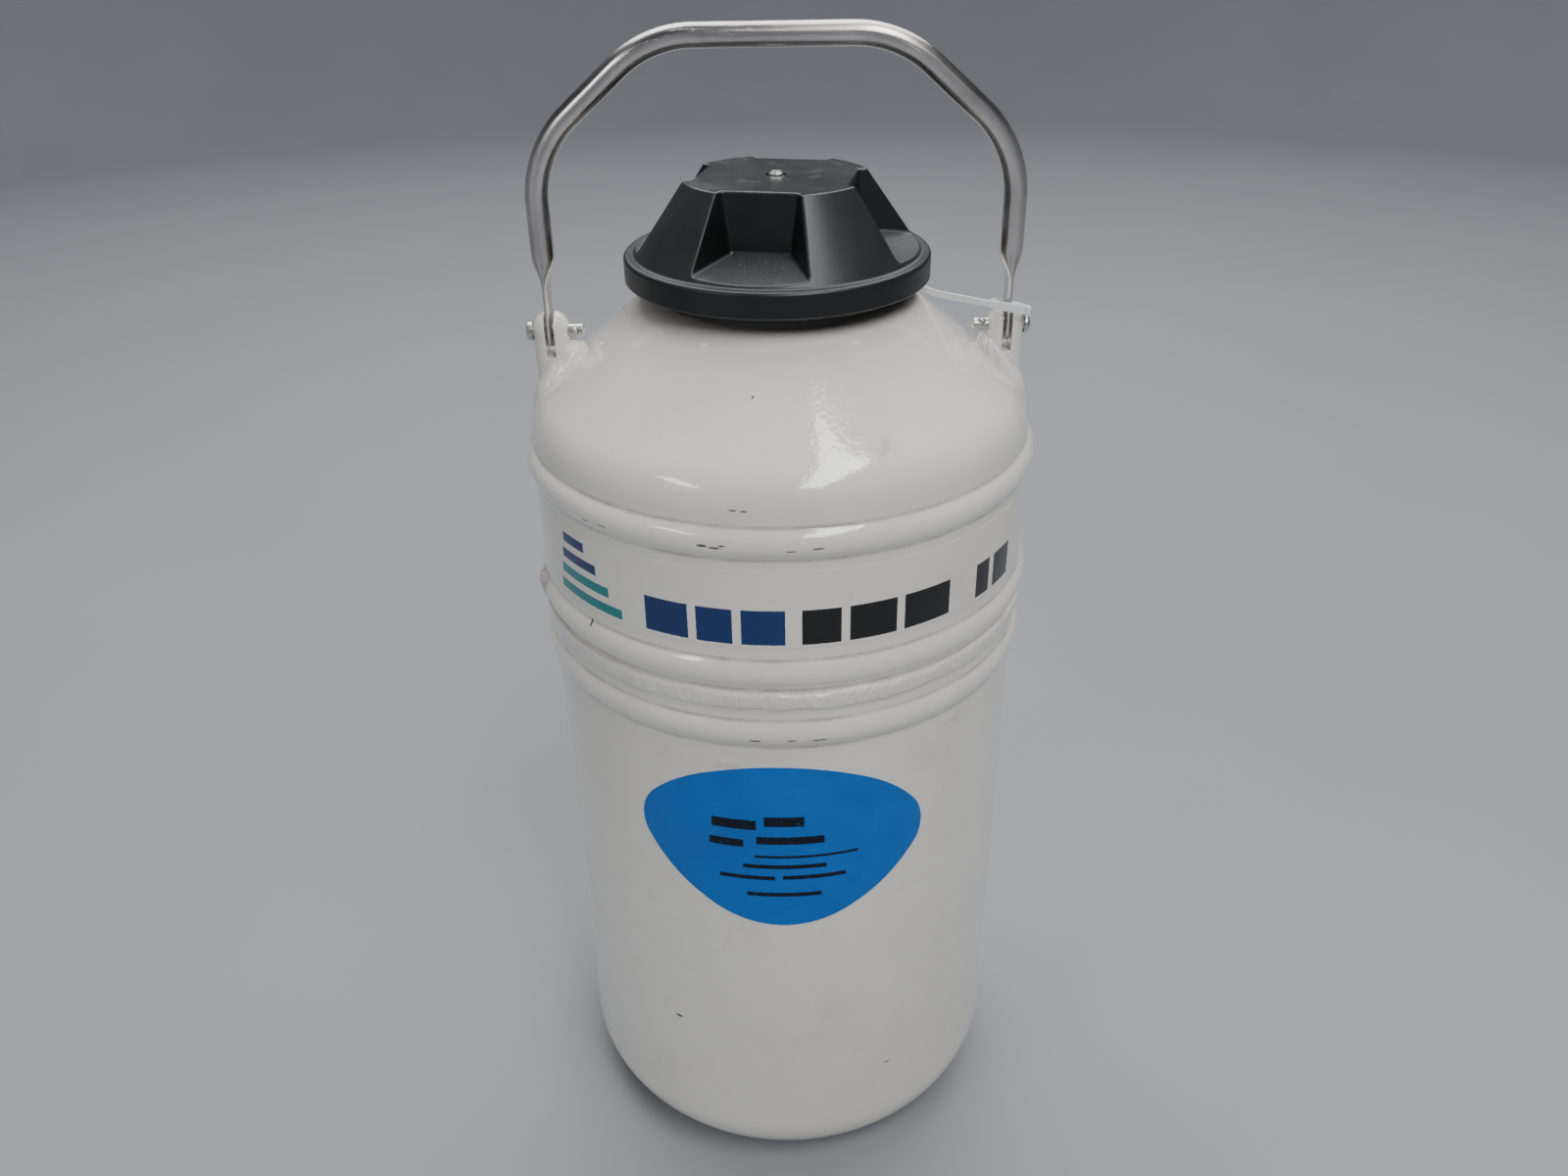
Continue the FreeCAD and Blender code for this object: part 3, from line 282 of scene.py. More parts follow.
def weld_enamel(name):
    """Paint over weld metal: the same white, a little fuller and less even."""
    tree = Tree(name)
    colour, rough, peel = enamel_base(tree, 0.02)
    pits = tree.between(tree.noise(170.0, 4.0, 0.7), 0.62, 0.75)
    colour = tree.mix(tree.times(pits, 0.25), colour, rgb(0.36, 0.32, 0.27))
    tree.set(Base_Color=colour, Roughness=rough, Coat_Weight=0.4, Coat_Roughness=0.05, IOR=1.5)
    lumps = tree.noise(240.0, 3.0, 0.55)
    tree.bump(tree.math("ADD", lumps, tree.times(peel, 0.3)), 0.00028)
    return tree.material


def moulding(name):
    """Black satin moulding: dust and a painted sheen on what faces up, rubbed patches, a fine
    grain.
    """
    tree = Tree(name)
    cloud = tree.noise(24.0, 5.0, 0.6, 0.4)
    colour = tree.mix(tree.between(cloud, 0.35, 0.7), rgb(0.0045, 0.0047, 0.005),
                      rgb(0.008, 0.0084, 0.009))
    _, height, radius = tree.polar()
    # Dust and painted sheen: a lighter film on surfaces that face up, strongest on the pocket
    # floors, less on the top and the ledge.
    facing = tree.add("ShaderNodeTexCoord").outputs["Normal"]
    upward = tree.add("ShaderNodeSeparateXYZ", {0: facing}).outputs[2]
    up_facing = tree.math("POWER", tree.between(upward, 0.2, 1.0, smooth=False), 1.5)
    top = tree.between(height, 545.9, 546.4)
    wiped = tree.math("SUBTRACT", 1.0, tree.times(top, 0.45))
    patches = tree.between(tree.noise(55.0, 4.0, 0.6), 0.34, 0.66, 0.65, 1.0)
    film = tree.times(tree.times(up_facing, wiped), patches)
    film = tree.times(film, tree.between(radius, 68.5, 70.5, 1.0, 0.3))
    colour = tree.mix(film, colour, rgb(0.050, 0.053, 0.058))
    swirl = tree.between(tree.noise(30.0, 2.0, 0.4, 2.5), 0.585, 0.62)
    swirl = tree.times(tree.times(swirl, top),
                       tree.between(tree.noise(700.0, 3.0, 0.7), 0.35, 0.65))
    colour = tree.mix(tree.times(swirl, 0.55), colour, rgb(0.115, 0.120, 0.130))
    pocket = tree.times(tree.between(height, 518.9, 520.5, 1.0, 0.0),
                        tree.between(radius, 60.0, 66.0, 1.0, 0.3))
    specks = tree.between(tree.noise(1100.0, 3.0, 0.7), 0.63, 0.70)
    specks = tree.times(specks, tree.math("MAXIMUM", pocket, 0.06))
    colour = tree.mix(tree.times(specks, up_facing), colour, rgb(0.40, 0.37, 0.31))
    scuff = tree.noise(14.0, 4.0, 0.55, 0.5)
    rough = tree.between(scuff, 0.3, 0.75, 0.36, 0.44)
    rough = tree.math("SUBTRACT", rough, tree.times(top, 0.12))
    tree.set(Base_Color=colour, Roughness=rough, IOR=1.5, Specular_IOR_Level=0.5)
    tree.bump(tree.noise(1500.0, 2.0, 0.5), 0.00002)
    return tree.material


def bright_steel(name, tint, rough_low, rough_high, along=(1.0, 1.0, 1.0), wear=0.0, flow=False):
    """Drawn and polished metal: streaks along the work, fine scratches, dull patches."""
    tree = Tree(name)
    if flow:
        tree.place = tree.add("ShaderNodeAttribute", attribute_name="flow").outputs["Vector"]
    streak = tree.noise(260.0, 4.0, 0.6, 0.0, tree.scaled(along))
    cloud = tree.noise(26.0, 4.0, 0.6, 0.5)
    dark = tuple(channel * 0.72 for channel in tint)
    colour = tree.mix(tree.between(cloud, 0.3, 0.75), rgb(*tint), rgb(*dark))
    scratch = tree.between(tree.noise(900.0, 5.0, 0.7, 0.3, tree.scaled(along)), 0.58, 0.72)
    colour = tree.mix(tree.times(scratch, 0.25 + wear), colour, rgb(0.30, 0.28, 0.27))
    rough = tree.math("ADD", tree.between(streak, 0.3, 0.7, rough_low, rough_high),
                      tree.times(scratch, 0.10))
    tree.set(Base_Color=colour, Metallic=1.0, Roughness=rough)
    tree.bump(tree.math("ADD", streak, scratch), 0.00003)
    return tree.material


# Printed bars on the label and the band: middle and half size in mm, and the band's ink.
LABEL_BARS = [
    (-26.0, 13.0, 11.0, 3.0), (-1.0, 15.5, 10.0, 3.0), (-30.0, 1.0, 8.5, 2.4),
    (2.0, 3.5, 17.0, 2.4), (10.0, -7.0, 26.0, 0.8), (-1.0, -13.5, 21.0, 1.3),
    (-20.0, -21.0, 14.0, 1.3), (14.0, -20.5, 16.0, 1.3), (-1.5, -32.0, 19.0, 1.3),
]
TEAL, NAVY, BLACK = (0.0, 0.215, 0.230), (0.001, 0.026, 0.130), (0.003, 0.003, 0.004)
BAND_BARS = [
    (-104.0, 369.5, 24.0, 2.6, TEAL), (-107.0, 378.5, 19.0, 2.6, TEAL),
    (-110.0, 387.5, 14.0, 2.6, NAVY), (-113.0, 396.5, 9.0, 2.6, NAVY),
    (-55.0, 376.0, 11.0, 9.0, NAVY), (-31.5, 376.0, 8.5, 9.0, NAVY),
    (-9.0, 376.0, 10.0, 9.0, NAVY), (17.5, 376.0, 9.0, 9.0, BLACK),
    (42.0, 376.0, 11.5, 9.0, BLACK), (70.5, 376.0, 13.0, 9.0, BLACK),
    (108.0, 376.0, 5.5, 9.0, BLACK), (126.0, 376.0, 8.5, 9.0, BLACK),
]


def film_blue(name):
    """Azure vinyl with plain printed bars, none of them lettering."""
    tree = Tree(name)
    low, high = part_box("front_label")
    split = tree.add("ShaderNodeSeparateXYZ", {0: tree.place}).outputs
    across = tree.times(split[0], 1000.0)
    height = tree.times(split[2], 1000.0)
    middle = (low.z + high.z) * 500.0 + 2.0
    drift = tree.noise(30.0, 4.0, 0.6)
    colour = tree.mix(tree.between(drift, 0.3, 0.7), rgb(0.0, 0.125, 0.480), rgb(0.0, 0.145, 0.540))
    ink = tree.strongest(
        tree.bar(across, height, (x, middle + z), (half_length, half_height))
        for x, z, half_length, half_height in LABEL_BARS)
    ink_wear = tree.between(tree.noise(600.0, 3.0, 0.6), 0.28, 0.36)
    colour = tree.mix(tree.times(ink, ink_wear), colour, rgb(0.002, 0.005, 0.014))
    rough = tree.between(tree.noise(48.0, 5.0, 0.6), 0.3, 0.7, 0.20, 0.34)
    tree.set(Base_Color=colour, Roughness=rough, IOR=1.40, Specular_IOR_Level=0.35)
    tree.bump(tree.noise(300.0, 2.0, 0.5), 0.00006)
    return tree.material


def film_band(name):
    """The clear film over the enamel with plain coloured bars printed on it."""
    tree = Tree(name)
    colour, rough, peel = enamel_base(tree)
    angle, height, _ = tree.polar()
    along = tree.times(angle, math.pi * 126.2 / 180.0)
    ragged = tree.times(tree.math("SUBTRACT", tree.noise(300.0, 3.0, 0.6), 0.5), 0.3)
    along, height = tree.math("ADD", along, ragged), tree.math("ADD", height, ragged)
    for s, z, half_length, half_height, ink in BAND_BARS:
        bar = tree.bar(along, height, (s, z), (half_length, half_height))
        colour = tree.mix(bar, colour, rgb(*ink))
    tree.set(Base_Color=colour, Roughness=rough, Coat_Weight=0.15, Coat_Roughness=0.03, IOR=1.45)
    tree.bump(peel, 0.00010)
    return tree.material


def nylon(name):
    """Milky, slightly translucent nylon with a fine grain."""
    tree = Tree(name)
    cloud = tree.noise(90.0, 3.0, 0.5)
    colour = tree.mix(cloud, rgb(0.74, 0.79, 0.81), rgb(0.84, 0.87, 0.88))
    rough = tree.between(tree.noise(150.0, 3.0, 0.5), 0.3, 0.7, 0.30, 0.45)
    tree.set(Base_Color=colour, Roughness=rough, IOR=1.53, Transmission_Weight=0.05,
             Subsurface_Weight=0.3, Subsurface_Scale=0.001)
    tree.bump(tree.noise(900.0, 2.0, 0.5), 0.00008)
    return tree.material


def plain_stuff(name, light, dark, scale, rough, metallic=0.0, grain=0.0002, stretch=(1, 1, 1)):
    """Hidden parts: two mixed tones, uneven roughness and a grain."""
    tree = Tree(name)
    where = tree.scaled(stretch)
    cloud = tree.noise(scale, 5.0, 0.6, 0.3, where)
    colour = tree.mix(tree.between(cloud, 0.3, 0.7), rgb(*light), rgb(*dark))
    uneven = tree.between(tree.noise(scale * 3.0, 3.0), 0.3, 0.7, rough - 0.08, rough + 0.08)
    tree.set(Base_Color=colour, Metallic=metallic, Roughness=uneven)
    tree.bump(tree.noise(scale * 9.0, 4.0, 0.6, 0.0, where), grain)
    return tree.material


MATERIALS = {
    "white_enamel": enamel("paint_white"),
    "white_weld": weld_enamel("paint_weld"),
    "bare_aluminium": plain_stuff("aluminium", (0.80, 0.80, 0.80), (0.66, 0.66, 0.67),
                                  60.0, 0.38, 1.0, 0.00006, (1, 1, 4)),
    "glass_fibre": plain_stuff("glass_fibre", (0.72, 0.68, 0.45), (0.58, 0.54, 0.34),
                               260.0, 0.42, 0.0, 0.0001, (1, 1, 0.2)),
    "foil_wrap": plain_stuff("foil", (0.85, 0.85, 0.84), (0.70, 0.70, 0.70),
                             70.0, 0.30, 0.9, 0.0008),
    "adsorbent": plain_stuff("adsorbent", (0.74, 0.68, 0.56), (0.58, 0.52, 0.42), 300.0, 0.85),
    "seal_rubber": plain_stuff("rubber", (0.020, 0.020, 0.020), (0.035, 0.034, 0.033), 200.0, 0.65),
    "black_moulding": moulding("moulding"),
    "polished_steel": bright_steel("steel_polished", (0.66, 0.63, 0.61), 0.10, 0.22),
    "zinc_steel": bright_steel("steel_zinc", (0.62, 0.62, 0.60), 0.26, 0.42, (0.3, 1.0, 1.0), 0.2),
    "foam": plain_stuff("foam", (0.88, 0.85, 0.74), (0.78, 0.74, 0.62), 420.0, 0.9, 0.0, 0.0006),
    "blue_film": film_blue("film_azure"),
    "white_film": film_band("film_clear"),
    "nylon": nylon("nylon_milky"),
}
DRAWN_STEEL = bright_steel("steel_drawn", (0.68, 0.65, 0.63), 0.20, 0.33, (0.04, 1.0, 1.0),
                           0.0, True)
SLOTS = {part["node"]: part["material_slot"] for part in frame["record"]["subparts"]}
for node_name, node_object in frame["nodes"].items():
    node_object.data.materials.clear()
    node_object.data.materials.append(MATERIALS[SLOTS[node_name]])


# ---------------------------------------------------------------- mesh helpers
def make_piece(name, vertices, faces, slot, sharp=50.0):
    """A smooth-shaded mesh object from vertices in mm."""
    mesh = bpy.data.meshes.new(name)
    mesh.from_pydata((np.asarray(vertices) * MM).tolist(), [], faces)
    mesh.validate()
    mesh.shade_smooth()
    mesh.set_sharp_from_angle(angle=math.radians(sharp))
    piece = bpy.data.objects.new(name, mesh)
    bpy.context.scene.collection.objects.link(piece)
    mesh.materials.append(MATERIALS[slot])
    return piece


def grid_faces(rows, columns, wrap_rows=True, wrap_columns=True):
    """Quads of a grid whose rows and columns may close on themselves."""
    last_row = rows if wrap_rows else rows - 1
    last_column = columns if wrap_columns else columns - 1
    i, j = np.meshgrid(np.arange(last_row), np.arange(last_column), indexing="ij")
    after_i, after_j = (i + 1) % rows, (j + 1) % columns
    quads = np.stack([i * columns + j, after_i * columns + j,
                      after_i * columns + after_j, i * columns + after_j], -1)
    return quads.reshape(-1, 4).tolist()


def trace(points, step):
    """Sample a profile of lines and arcs at even steps."""
    pieces = []
    for here, there in zip(points, points[1:]):
        a, b = np.array(here[:2]), np.array(there[:2])
        chord = b - a
        length = np.linalg.norm(chord)
        if len(here) < 3:
            share = np.linspace(0, 1, max(2, int(length / step)), endpoint=False)[:, None]
            pieces.append(a + chord * share)
            continue
        radius = here[2]
        left = np.array([-chord[1], chord[0]]) / length
        centre = (a + b) / 2 + left * math.sqrt(radius ** 2 - length ** 2 / 4)
        sweep = 2 * math.asin(length / 2 / radius)
        first = math.atan2(a[1] - centre[1], a[0] - centre[0])
        angle = first + np.linspace(0, sweep, max(3, int(radius * sweep / step)), endpoint=False)
        pieces.append(centre + radius * np.stack([np.cos(angle), np.sin(angle)], 1))
    pieces.append(np.array([points[-1][:2]]))
    return np.concatenate(pieces)


def even(points, step):
    """The same polyline with points at even distances along it."""
    length = np.concatenate([[0], np.cumsum(np.linalg.norm(np.diff(points, axis=0), axis=1))])
    at = np.linspace(0, length[-1], int(length[-1] / step) + 1)
    return np.stack([np.interp(at, length, points[:, k]) for k in range(points.shape[1])], 1)


def soften(points, reach):
    """Gaussian smoothing along a polyline whose ends stay where they are."""
    width = int(reach * 3)
    kernel = np.exp(-0.5 * (np.arange(-width, width + 1) / reach) ** 2)
    kernel /= kernel.sum()
    before = 2 * points[0] - points[width:0:-1]
    after = 2 * points[-1] - points[-2:-width - 2:-1]
    padded = np.concatenate([before, points, after])
    columns = [np.convolve(padded[:, k], kernel, "valid") for k in range(points.shape[1])]
    return np.stack(columns, 1)


def thin_out(points, turn, longest):
    """Keep the points where the line has turned or run far enough."""
    kept, heading = [0], None
    for n in range(1, len(points) - 1):
        direction = math.atan2(*(points[n + 1] - points[n])[::-1])
        heading = direction if heading is None else heading
        bend = abs((direction - heading + math.pi) % (2 * math.pi) - math.pi)
        if bend > turn or np.linalg.norm(points[n] - points[kept[-1]]) > longest:
            kept.append(n)
            heading = direction
    return points[kept + [len(points) - 1]]


def profile_normals(points):
    """Unit normals on the right of travel in the (r, z) plane."""
    run = np.gradient(points, axis=0)
    normals = np.stack([run[:, 1], -run[:, 0]], 1)
    return normals / np.linalg.norm(normals, axis=1)[:, None]


def around(azimuth, points, lift, normals):
    """Turn a profile about Z; azimuth 0 faces the front, and lift moves along the normals."""
    r = points[None, :, 0] + lift * normals[None, :, 0]
    z = points[None, :, 1] + lift * normals[None, :, 1]
    a = azimuth[:, None]
    return np.stack([r * np.sin(a), -r * np.cos(a), z + 0 * a], -1)


# ---------------------------------------------------------------- vessel
WAVE_SEED = 11


def spun_waviness(azimuth, z):
    """The slow unevenness of hand-finished spun sheet, in mm."""
    random = np.random.default_rng(WAVE_SEED)
    total = 0.0
    for turns in (2, 3, 5, 7, 9, 12, 16, 21):
        for _ in range(2):
            wavelength = random.uniform(60, 220)
            phase_a, phase_z = random.uniform(0, 2 * math.pi, 2)
            size = 0.05 / (1 + turns * 0.25)
            total = total + size * np.cos(turns * azimuth + phase_a) * np.cos(
                2 * math.pi * z / wavelength + phase_z)
    return total


# Dents: azimuth (degrees), height, reach around, reach in height, depth (mm, < 0 is a bulge).
DENTS = [
    (-75.0, 351.0, 9.0, 9.0, -1.0), (-67.0, 344.0, 4.0, 5.0, 0.6),
    (18.0, 95.0, 20.0, 16.0, 0.25), (-14.0, 417.5, 7.0, 3.0, 0.35),
    (140.0, 210.0, 16.0, 20.0, 0.5), (-130.0, 120.0, 12.0, 15.0, 0.4),
    (96.0, 351.0, 9.0, 4.0, 0.4), (-5.0, 60.0, 16.0, 9.0, 0.22),
]


def vessel_lift(azimuth, points):
    """How far the sheet stands off its nominal surface."""
    a, z = azimuth[:, None], points[None, :, 1]
    lift = spun_waviness(a, z)
    for angle, height, reach_a, reach_z, depth in DENTS:
        turn = (a - math.radians(angle) + math.pi) % (2 * math.pi) - math.pi
        away = (turn * SHELL_R / reach_a) ** 2 + ((z - height) / reach_z) ** 2
        lift = lift - depth * np.exp(-away)
    foot = np.clip(z / 30.0, 0, 1)
    return lift * foot


def make_shell(name, outside, inside, node):
    """One half of the vessel as closed sheet: softened beads outside, plain inside."""
    line = soften(even(trace(outside, 0.15), 0.15), 4.0)
    line = thin_out(line, math.radians(3.5), 5.0)
    azimuth = np.linspace(0, 2 * math.pi, 480, endpoint=False)
    skin = around(azimuth, line, vessel_lift(azimuth, line), profile_normals(line))
    core = np.array(inside)
    hollow = around(azimuth, core, np.zeros((len(azimuth), len(core))), 0 * core)
    rows = np.concatenate([skin, hollow], 1)
    count = rows.shape[1]
    faces = grid_faces(len(azimuth), count)
    piece = make_piece(name, rows.reshape(-1, 3), faces, "white_enamel", 40.0)
    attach(piece, "vessel")
    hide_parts(node)


make_shell("lower_shell", LOWER_OUTSIDE, LOWER_INSIDE, "outer_shell_lower")
make_shell("upper_shell", UPPER_OUTSIDE, UPPER_INSIDE, "outer_shell_upper")


def slow_wander(azimuth, seed, turns, size):
    """A smooth random function round the vessel."""
    random = np.random.default_rng(seed)
    total = 0.0
    for n in turns:
        weight = random.uniform(0.5, 1.0)
        total = total + weight * np.cos(n * azimuth + random.uniform(0, 2 * math.pi))
    return total * size / math.sqrt(len(turns))


def make_girth_weld():
    """The weld between the shells: a flat-backed body with scalloped lips and lapped ripples."""
    low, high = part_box("girth_weld")
    middle, foot, back, pitch = (low.z + high.z) * 500, 125.55, 124.6, 4.6
    azimuth = np.linspace(0, 2 * math.pi, 2400, endpoint=False)[:, None]
    across = np.linspace(-1, 1, 23)[None, :]
    beat = azimuth * SHELL_R / pitch + slow_wander(azimuth, 6, (8, 15, 31, 50), 1.7)
    scallop = np.abs(np.sin(math.pi * beat)) ** 0.7
    front = (azimuth + math.pi) % (2 * math.pi) - math.pi
    lively = 0.35 + 0.65 * np.exp(-((front - 0.2) / 0.55) ** 2) + 0.4 * np.sin(front / 2) ** 8
    lively = lively * (0.75 + slow_wander(azimuth, 8, (17, 29, 41, 53), 0.35))
    half = 4.5 + slow_wander(azimuth, 3, (5, 9, 14, 23, 37), 0.6) + 0.5 * lively * scallop
    centre = middle + slow_wander(azimuth, 4, (3, 7, 11, 19, 33), 0.4)
    crest = 1.75 + slow_wander(azimuth, 5, (6, 13, 27, 44), 0.35)
    lap = (beat + 0.75 * (1 - across ** 2)) % 1.0
    ripple = np.where(lap < 0.65, lap / 0.65, (1 - lap) / 0.35)
    ripple = ripple * ripple * (3 - 2 * ripple) * 0.42 * lively
    body = np.clip(1 - np.abs(across) ** 4.0, 0, 1) ** 0.5
    r = foot + (crest * (1 + 0.15 * across) + ripple) * body
    z = centre + half * across + 0 * r
    shape = np.stack([r * np.sin(azimuth), -r * np.cos(azimuth), z], -1)
    back_r = 0 * azimuth + back
    backs = [np.stack([back_r * np.sin(azimuth), -back_r * np.cos(azimuth), z[:, [k]]], -1)
             for k in (-1, 0)]
    rows = np.concatenate([shape] + backs, 1)
    faces = grid_faces(rows.shape[0], rows.shape[1])
    piece = make_piece("weld_round_body", rows.reshape(-1, 3), faces, "white_weld", 70.0)
    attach(piece, "vessel")
    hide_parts("girth_weld")


make_girth_weld()

SLOPE = math.radians(40.4)
KNUCKLE_R, KNUCKLE_CENTRE = 26.0, (98.8, 429.2)


def dome_height(r):
    """Height of the shoulder at a radius, in mm."""
    turn_r = KNUCKLE_CENTRE[0] + KNUCKLE_R * math.sin(SLOPE)
    turn_z = KNUCKLE_CENTRE[1] + KNUCKLE_R * math.cos(SLOPE)
    on_cone = turn_z + (turn_r - r) * math.tan(SLOPE)
    inside = np.clip(KNUCKLE_R ** 2 - (r - KNUCKLE_CENTRE[0]) ** 2, 0.0, None)
    on_knuckle = KNUCKLE_CENTRE[1] + np.sqrt(inside)
    on_wall = KNUCKLE_CENTRE[1] - (r - 124.8) * 6.0
    return np.where(r < turn_r, on_cone, np.where(r < 124.7, on_knuckle, on_wall))


def make_lug_weld(side_name, side, toes, ripple_size, seed):
    """The thick fillet round a lug: toes gives its reach at azimuths round the lug."""
    count, steps, bar_r, pitch = 240, 26, 8.7, 7.2
    phi = np.linspace(-math.pi, math.pi, count, endpoint=False)
    angles, reaches = np.radians([t[0] for t in toes]), [t[1] for t in toes]
    reach = np.interp(phi, angles, reaches)
    reach = soften(np.stack([reach] * 2, 1), 6.0)[:, 0]
    inboard = 0.5 - 0.5 * np.cos(phi)
    wander = slow_wander(phi, seed, (3, 5, 8), 0.5)
    top = 6.5 + 3.0 * inboard + wander
    start = np.stack([PIN_X + bar_r * np.cos(phi), bar_r * np.sin(phi)], 1)
    end = np.stack([PIN_X + reach * np.cos(phi), reach * np.sin(phi)], 1)
    start_z = dome_height(np.hypot(start[:, 0], start[:, 1])) + top
    start_z = np.minimum(start_z, PIN_Z - 3.9)
    end_z = dome_height(np.hypot(end[:, 0], end[:, 1])) - 0.15
    t = np.linspace(0, 1, steps)[None, :, None]
    a = np.concatenate([start, start_z[:, None]], 1)[:, None, :]
    b = np.concatenate([end, end_z[:, None]], 1)[:, None, :]
    corner_xy = start + (end - start) * 0.80
    corner_z = 0.60 * start_z + 0.40 * end_z + 1.2
    c = np.concatenate([corner_xy, corner_z[:, None]], 1)[:, None, :]
    rows = (1 - t) ** 2 * a + 2 * t * (1 - t) * c + t ** 2 * b
    outward = np.stack([0.7 * np.cos(phi), 0.7 * np.sin(phi), 0.7 + 0 * phi], 1)[:, None, :]
    beat = phi[:, None] * 15.0 / pitch + 0.3 * np.cos(math.pi * t[..., 0]) + wander[:, None] * 0.4
    swell = np.abs(np.cos(math.pi * beat)) ** 0.8 - 0.6
    swell = swell * ripple_size * inboard[:, None] ** 0.5 * np.sin(math.pi * t[..., 0]) ** 0.7
    rows = rows + outward * swell[..., None]
    under = [np.concatenate([end, end_z[:, None] - 2.0], 1)[:, None, :]]
    inner = np.stack([PIN_X + 6.5 * np.cos(phi), 6.5 * np.sin(phi)], 1)
    inner_low = dome_height(np.hypot(inner[:, 0], inner[:, 1])) - 1.6
    under.append(np.concatenate([inner, inner_low[:, None]], 1)[:, None, :])
    under.append(np.concatenate([inner, start_z[:, None] - 1.5], 1)[:, None, :])
    rows = np.concatenate([rows] + under, 1)
    rows[..., 0] *= side
    faces = grid_faces(count, rows.shape[1])
    piece = make_piece("lug_weld_" + side_name, rows.reshape(-1, 3), faces, "white_weld", 75.0)
    outward_faces(piece)
    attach(piece, "vessel")
    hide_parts("bracket_weld_" + side_name)


def outward_faces(piece):
    """Turn every face so that its normal points out."""
    work = bmesh.new()
    work.from_mesh(piece.data)
    bmesh.ops.recalc_face_normals(work, faces=work.faces)
    work.to_mesh(piece.data)
    work.free()


# The toe of each lug's weld: azimuth round the lug (degrees, 0 is outboard), reach (mm).
LEFT_TOES = [
    (-180, 15.8), (-150, 16.0), (-115, 15.6), (-92, 19.5), (-76, 21.0), (-40, 15.5), (0, 13.0),
    (40, 15.0), (76, 19.0), (92, 18.0), (115, 15.6), (150, 16.0), (180, 15.8),
]
RIGHT_TOES = [
    (-180, 13.4), (-153, 11.6), (-117, 11.4), (-90, 12.6), (-73, 17.2), (-40, 15.0), (0, 13.0),
    (40, 15.0), (73, 17.0), (92, 13.6), (117, 12.6), (153, 13.6), (180, 13.4),
]
make_lug_weld("left", -1.0, LEFT_TOES, 0.30, 21)
make_lug_weld("right", 1.0, RIGHT_TOES, 1.6, 22)


def bake_modifiers(piece):
    """Apply every modifier to the mesh."""
    bpy.context.view_layer.update()
    depsgraph = bpy.context.evaluated_depsgraph_get()
    baked = bpy.data.meshes.new_from_object(piece.evaluated_get(depsgraph))
    piece.modifiers.clear()
    piece.data = baked


def softened_copy(name, node, voxel, rounds, slot):
    """A remeshed copy of a CAD node with its edges rounded off, riding the vessel."""
    work = bmesh.new()
    work.from_mesh(frame["nodes"][node].data)
    bmesh.ops.remove_doubles(work, verts=work.verts, dist=1e-6)
    mesh = bpy.data.meshes.new(name)
    work.to_mesh(mesh)
    work.free()
    piece = bpy.data.objects.new(name, mesh)
    bpy.context.scene.collection.objects.link(piece)
    remesh = piece.modifiers.new("voxels", "REMESH")
    remesh.mode = "VOXEL"
    remesh.voxel_size = voxel * MM
    smooth = piece.modifiers.new("smooth", "SMOOTH")
    smooth.factor, smooth.iterations = 0.5, rounds
    bake_modifiers(piece)
    piece.data.shade_smooth()
    piece.data.materials.clear()
    piece.data.materials.append(MATERIALS[slot])
    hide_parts(node)
    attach(piece, "vessel")


for side_name in ("left", "right"):
    softened_copy("lug_" + side_name, "handle_bracket_" + side_name, 0.3, 8, "white_enamel")

for side_name in ("left", "right"):
    softened_copy("pin_" + side_name, "detent_pin_" + side_name, 0.14, 3, "zinc_steel")


def make_ball_spring(side_name, tilt):
    """The spring under a detent ball, a copy of its CAD node that rides with the vessel."""
    node = "detent_spring_" + side_name
    mesh = frame["nodes"][node].data.copy()
    piece = bpy.data.objects.new("ball_spring_" + side_name, mesh)
    bpy.context.scene.collection.objects.link(piece)
    tilt = math.radians(tilt)
    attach(piece, "vessel")
    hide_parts(node)
    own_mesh(piece)


make_ball_spring("left", -12.0)
make_ball_spring("right", -50.0)


# ---------------------------------------------------------------- handle
def bail_line():
    """The bail's centre line from the left eye to the right, in mm above the pins."""
    corners = [(-LEG_X, 0.0), (-LEG_X, LEG_TOP), (-BAR_HALF, BAR_TOP),
               (BAR_HALF, BAR_TOP), (LEG_X, LEG_TOP), (LEG_X, 0.0)]
    bends = [53.0, 54.0, 54.0, 53.0]
    points = [np.array([corners[0]])]
    for n, radius in enumerate(bends, start=1):
        before, corner, after = (np.array(corners[k]) for k in (n - 1, n, n + 1))
        into, out = before - corner, after - corner
        into, out = into / np.linalg.norm(into), out / np.linalg.norm(out)
        angle = math.acos(np.dot(into, out))
        reach = radius / math.tan(angle / 2)
        way = (into + out) / np.linalg.norm(into + out)
        centre = corner + way * radius / math.sin(angle / 2)
        first = corner + into * reach - centre
        last = corner + out * reach - centre
        share = np.linspace(0, 1, 40)[:, None]
        swept = math.acos(np.dot(first, last) / radius ** 2)
        arc = np.sin((1 - share) * swept) * first + np.sin(share * swept) * last
        points.append(centre + arc / math.sin(swept))
    points.append(np.array([corners[-1]]))
    return even(np.concatenate(points), 0.9)


def leg_section(height):
    """Half thickness and half width of the tube at a height above the pins."""
    pressed = np.clip(1 - (height - PINCH_LOW) / PINCH_LENGTH, 0, 1)
    flat = pressed ** 3 * (10 - 15 * pressed + 6 * pressed ** 2)
    return (FLAT_HALF_T + (TUBE_R - FLAT_HALF_T) * (1 - flat),
            TUBE_R + (FLAT_HALF_W - TUBE_R) * flat)


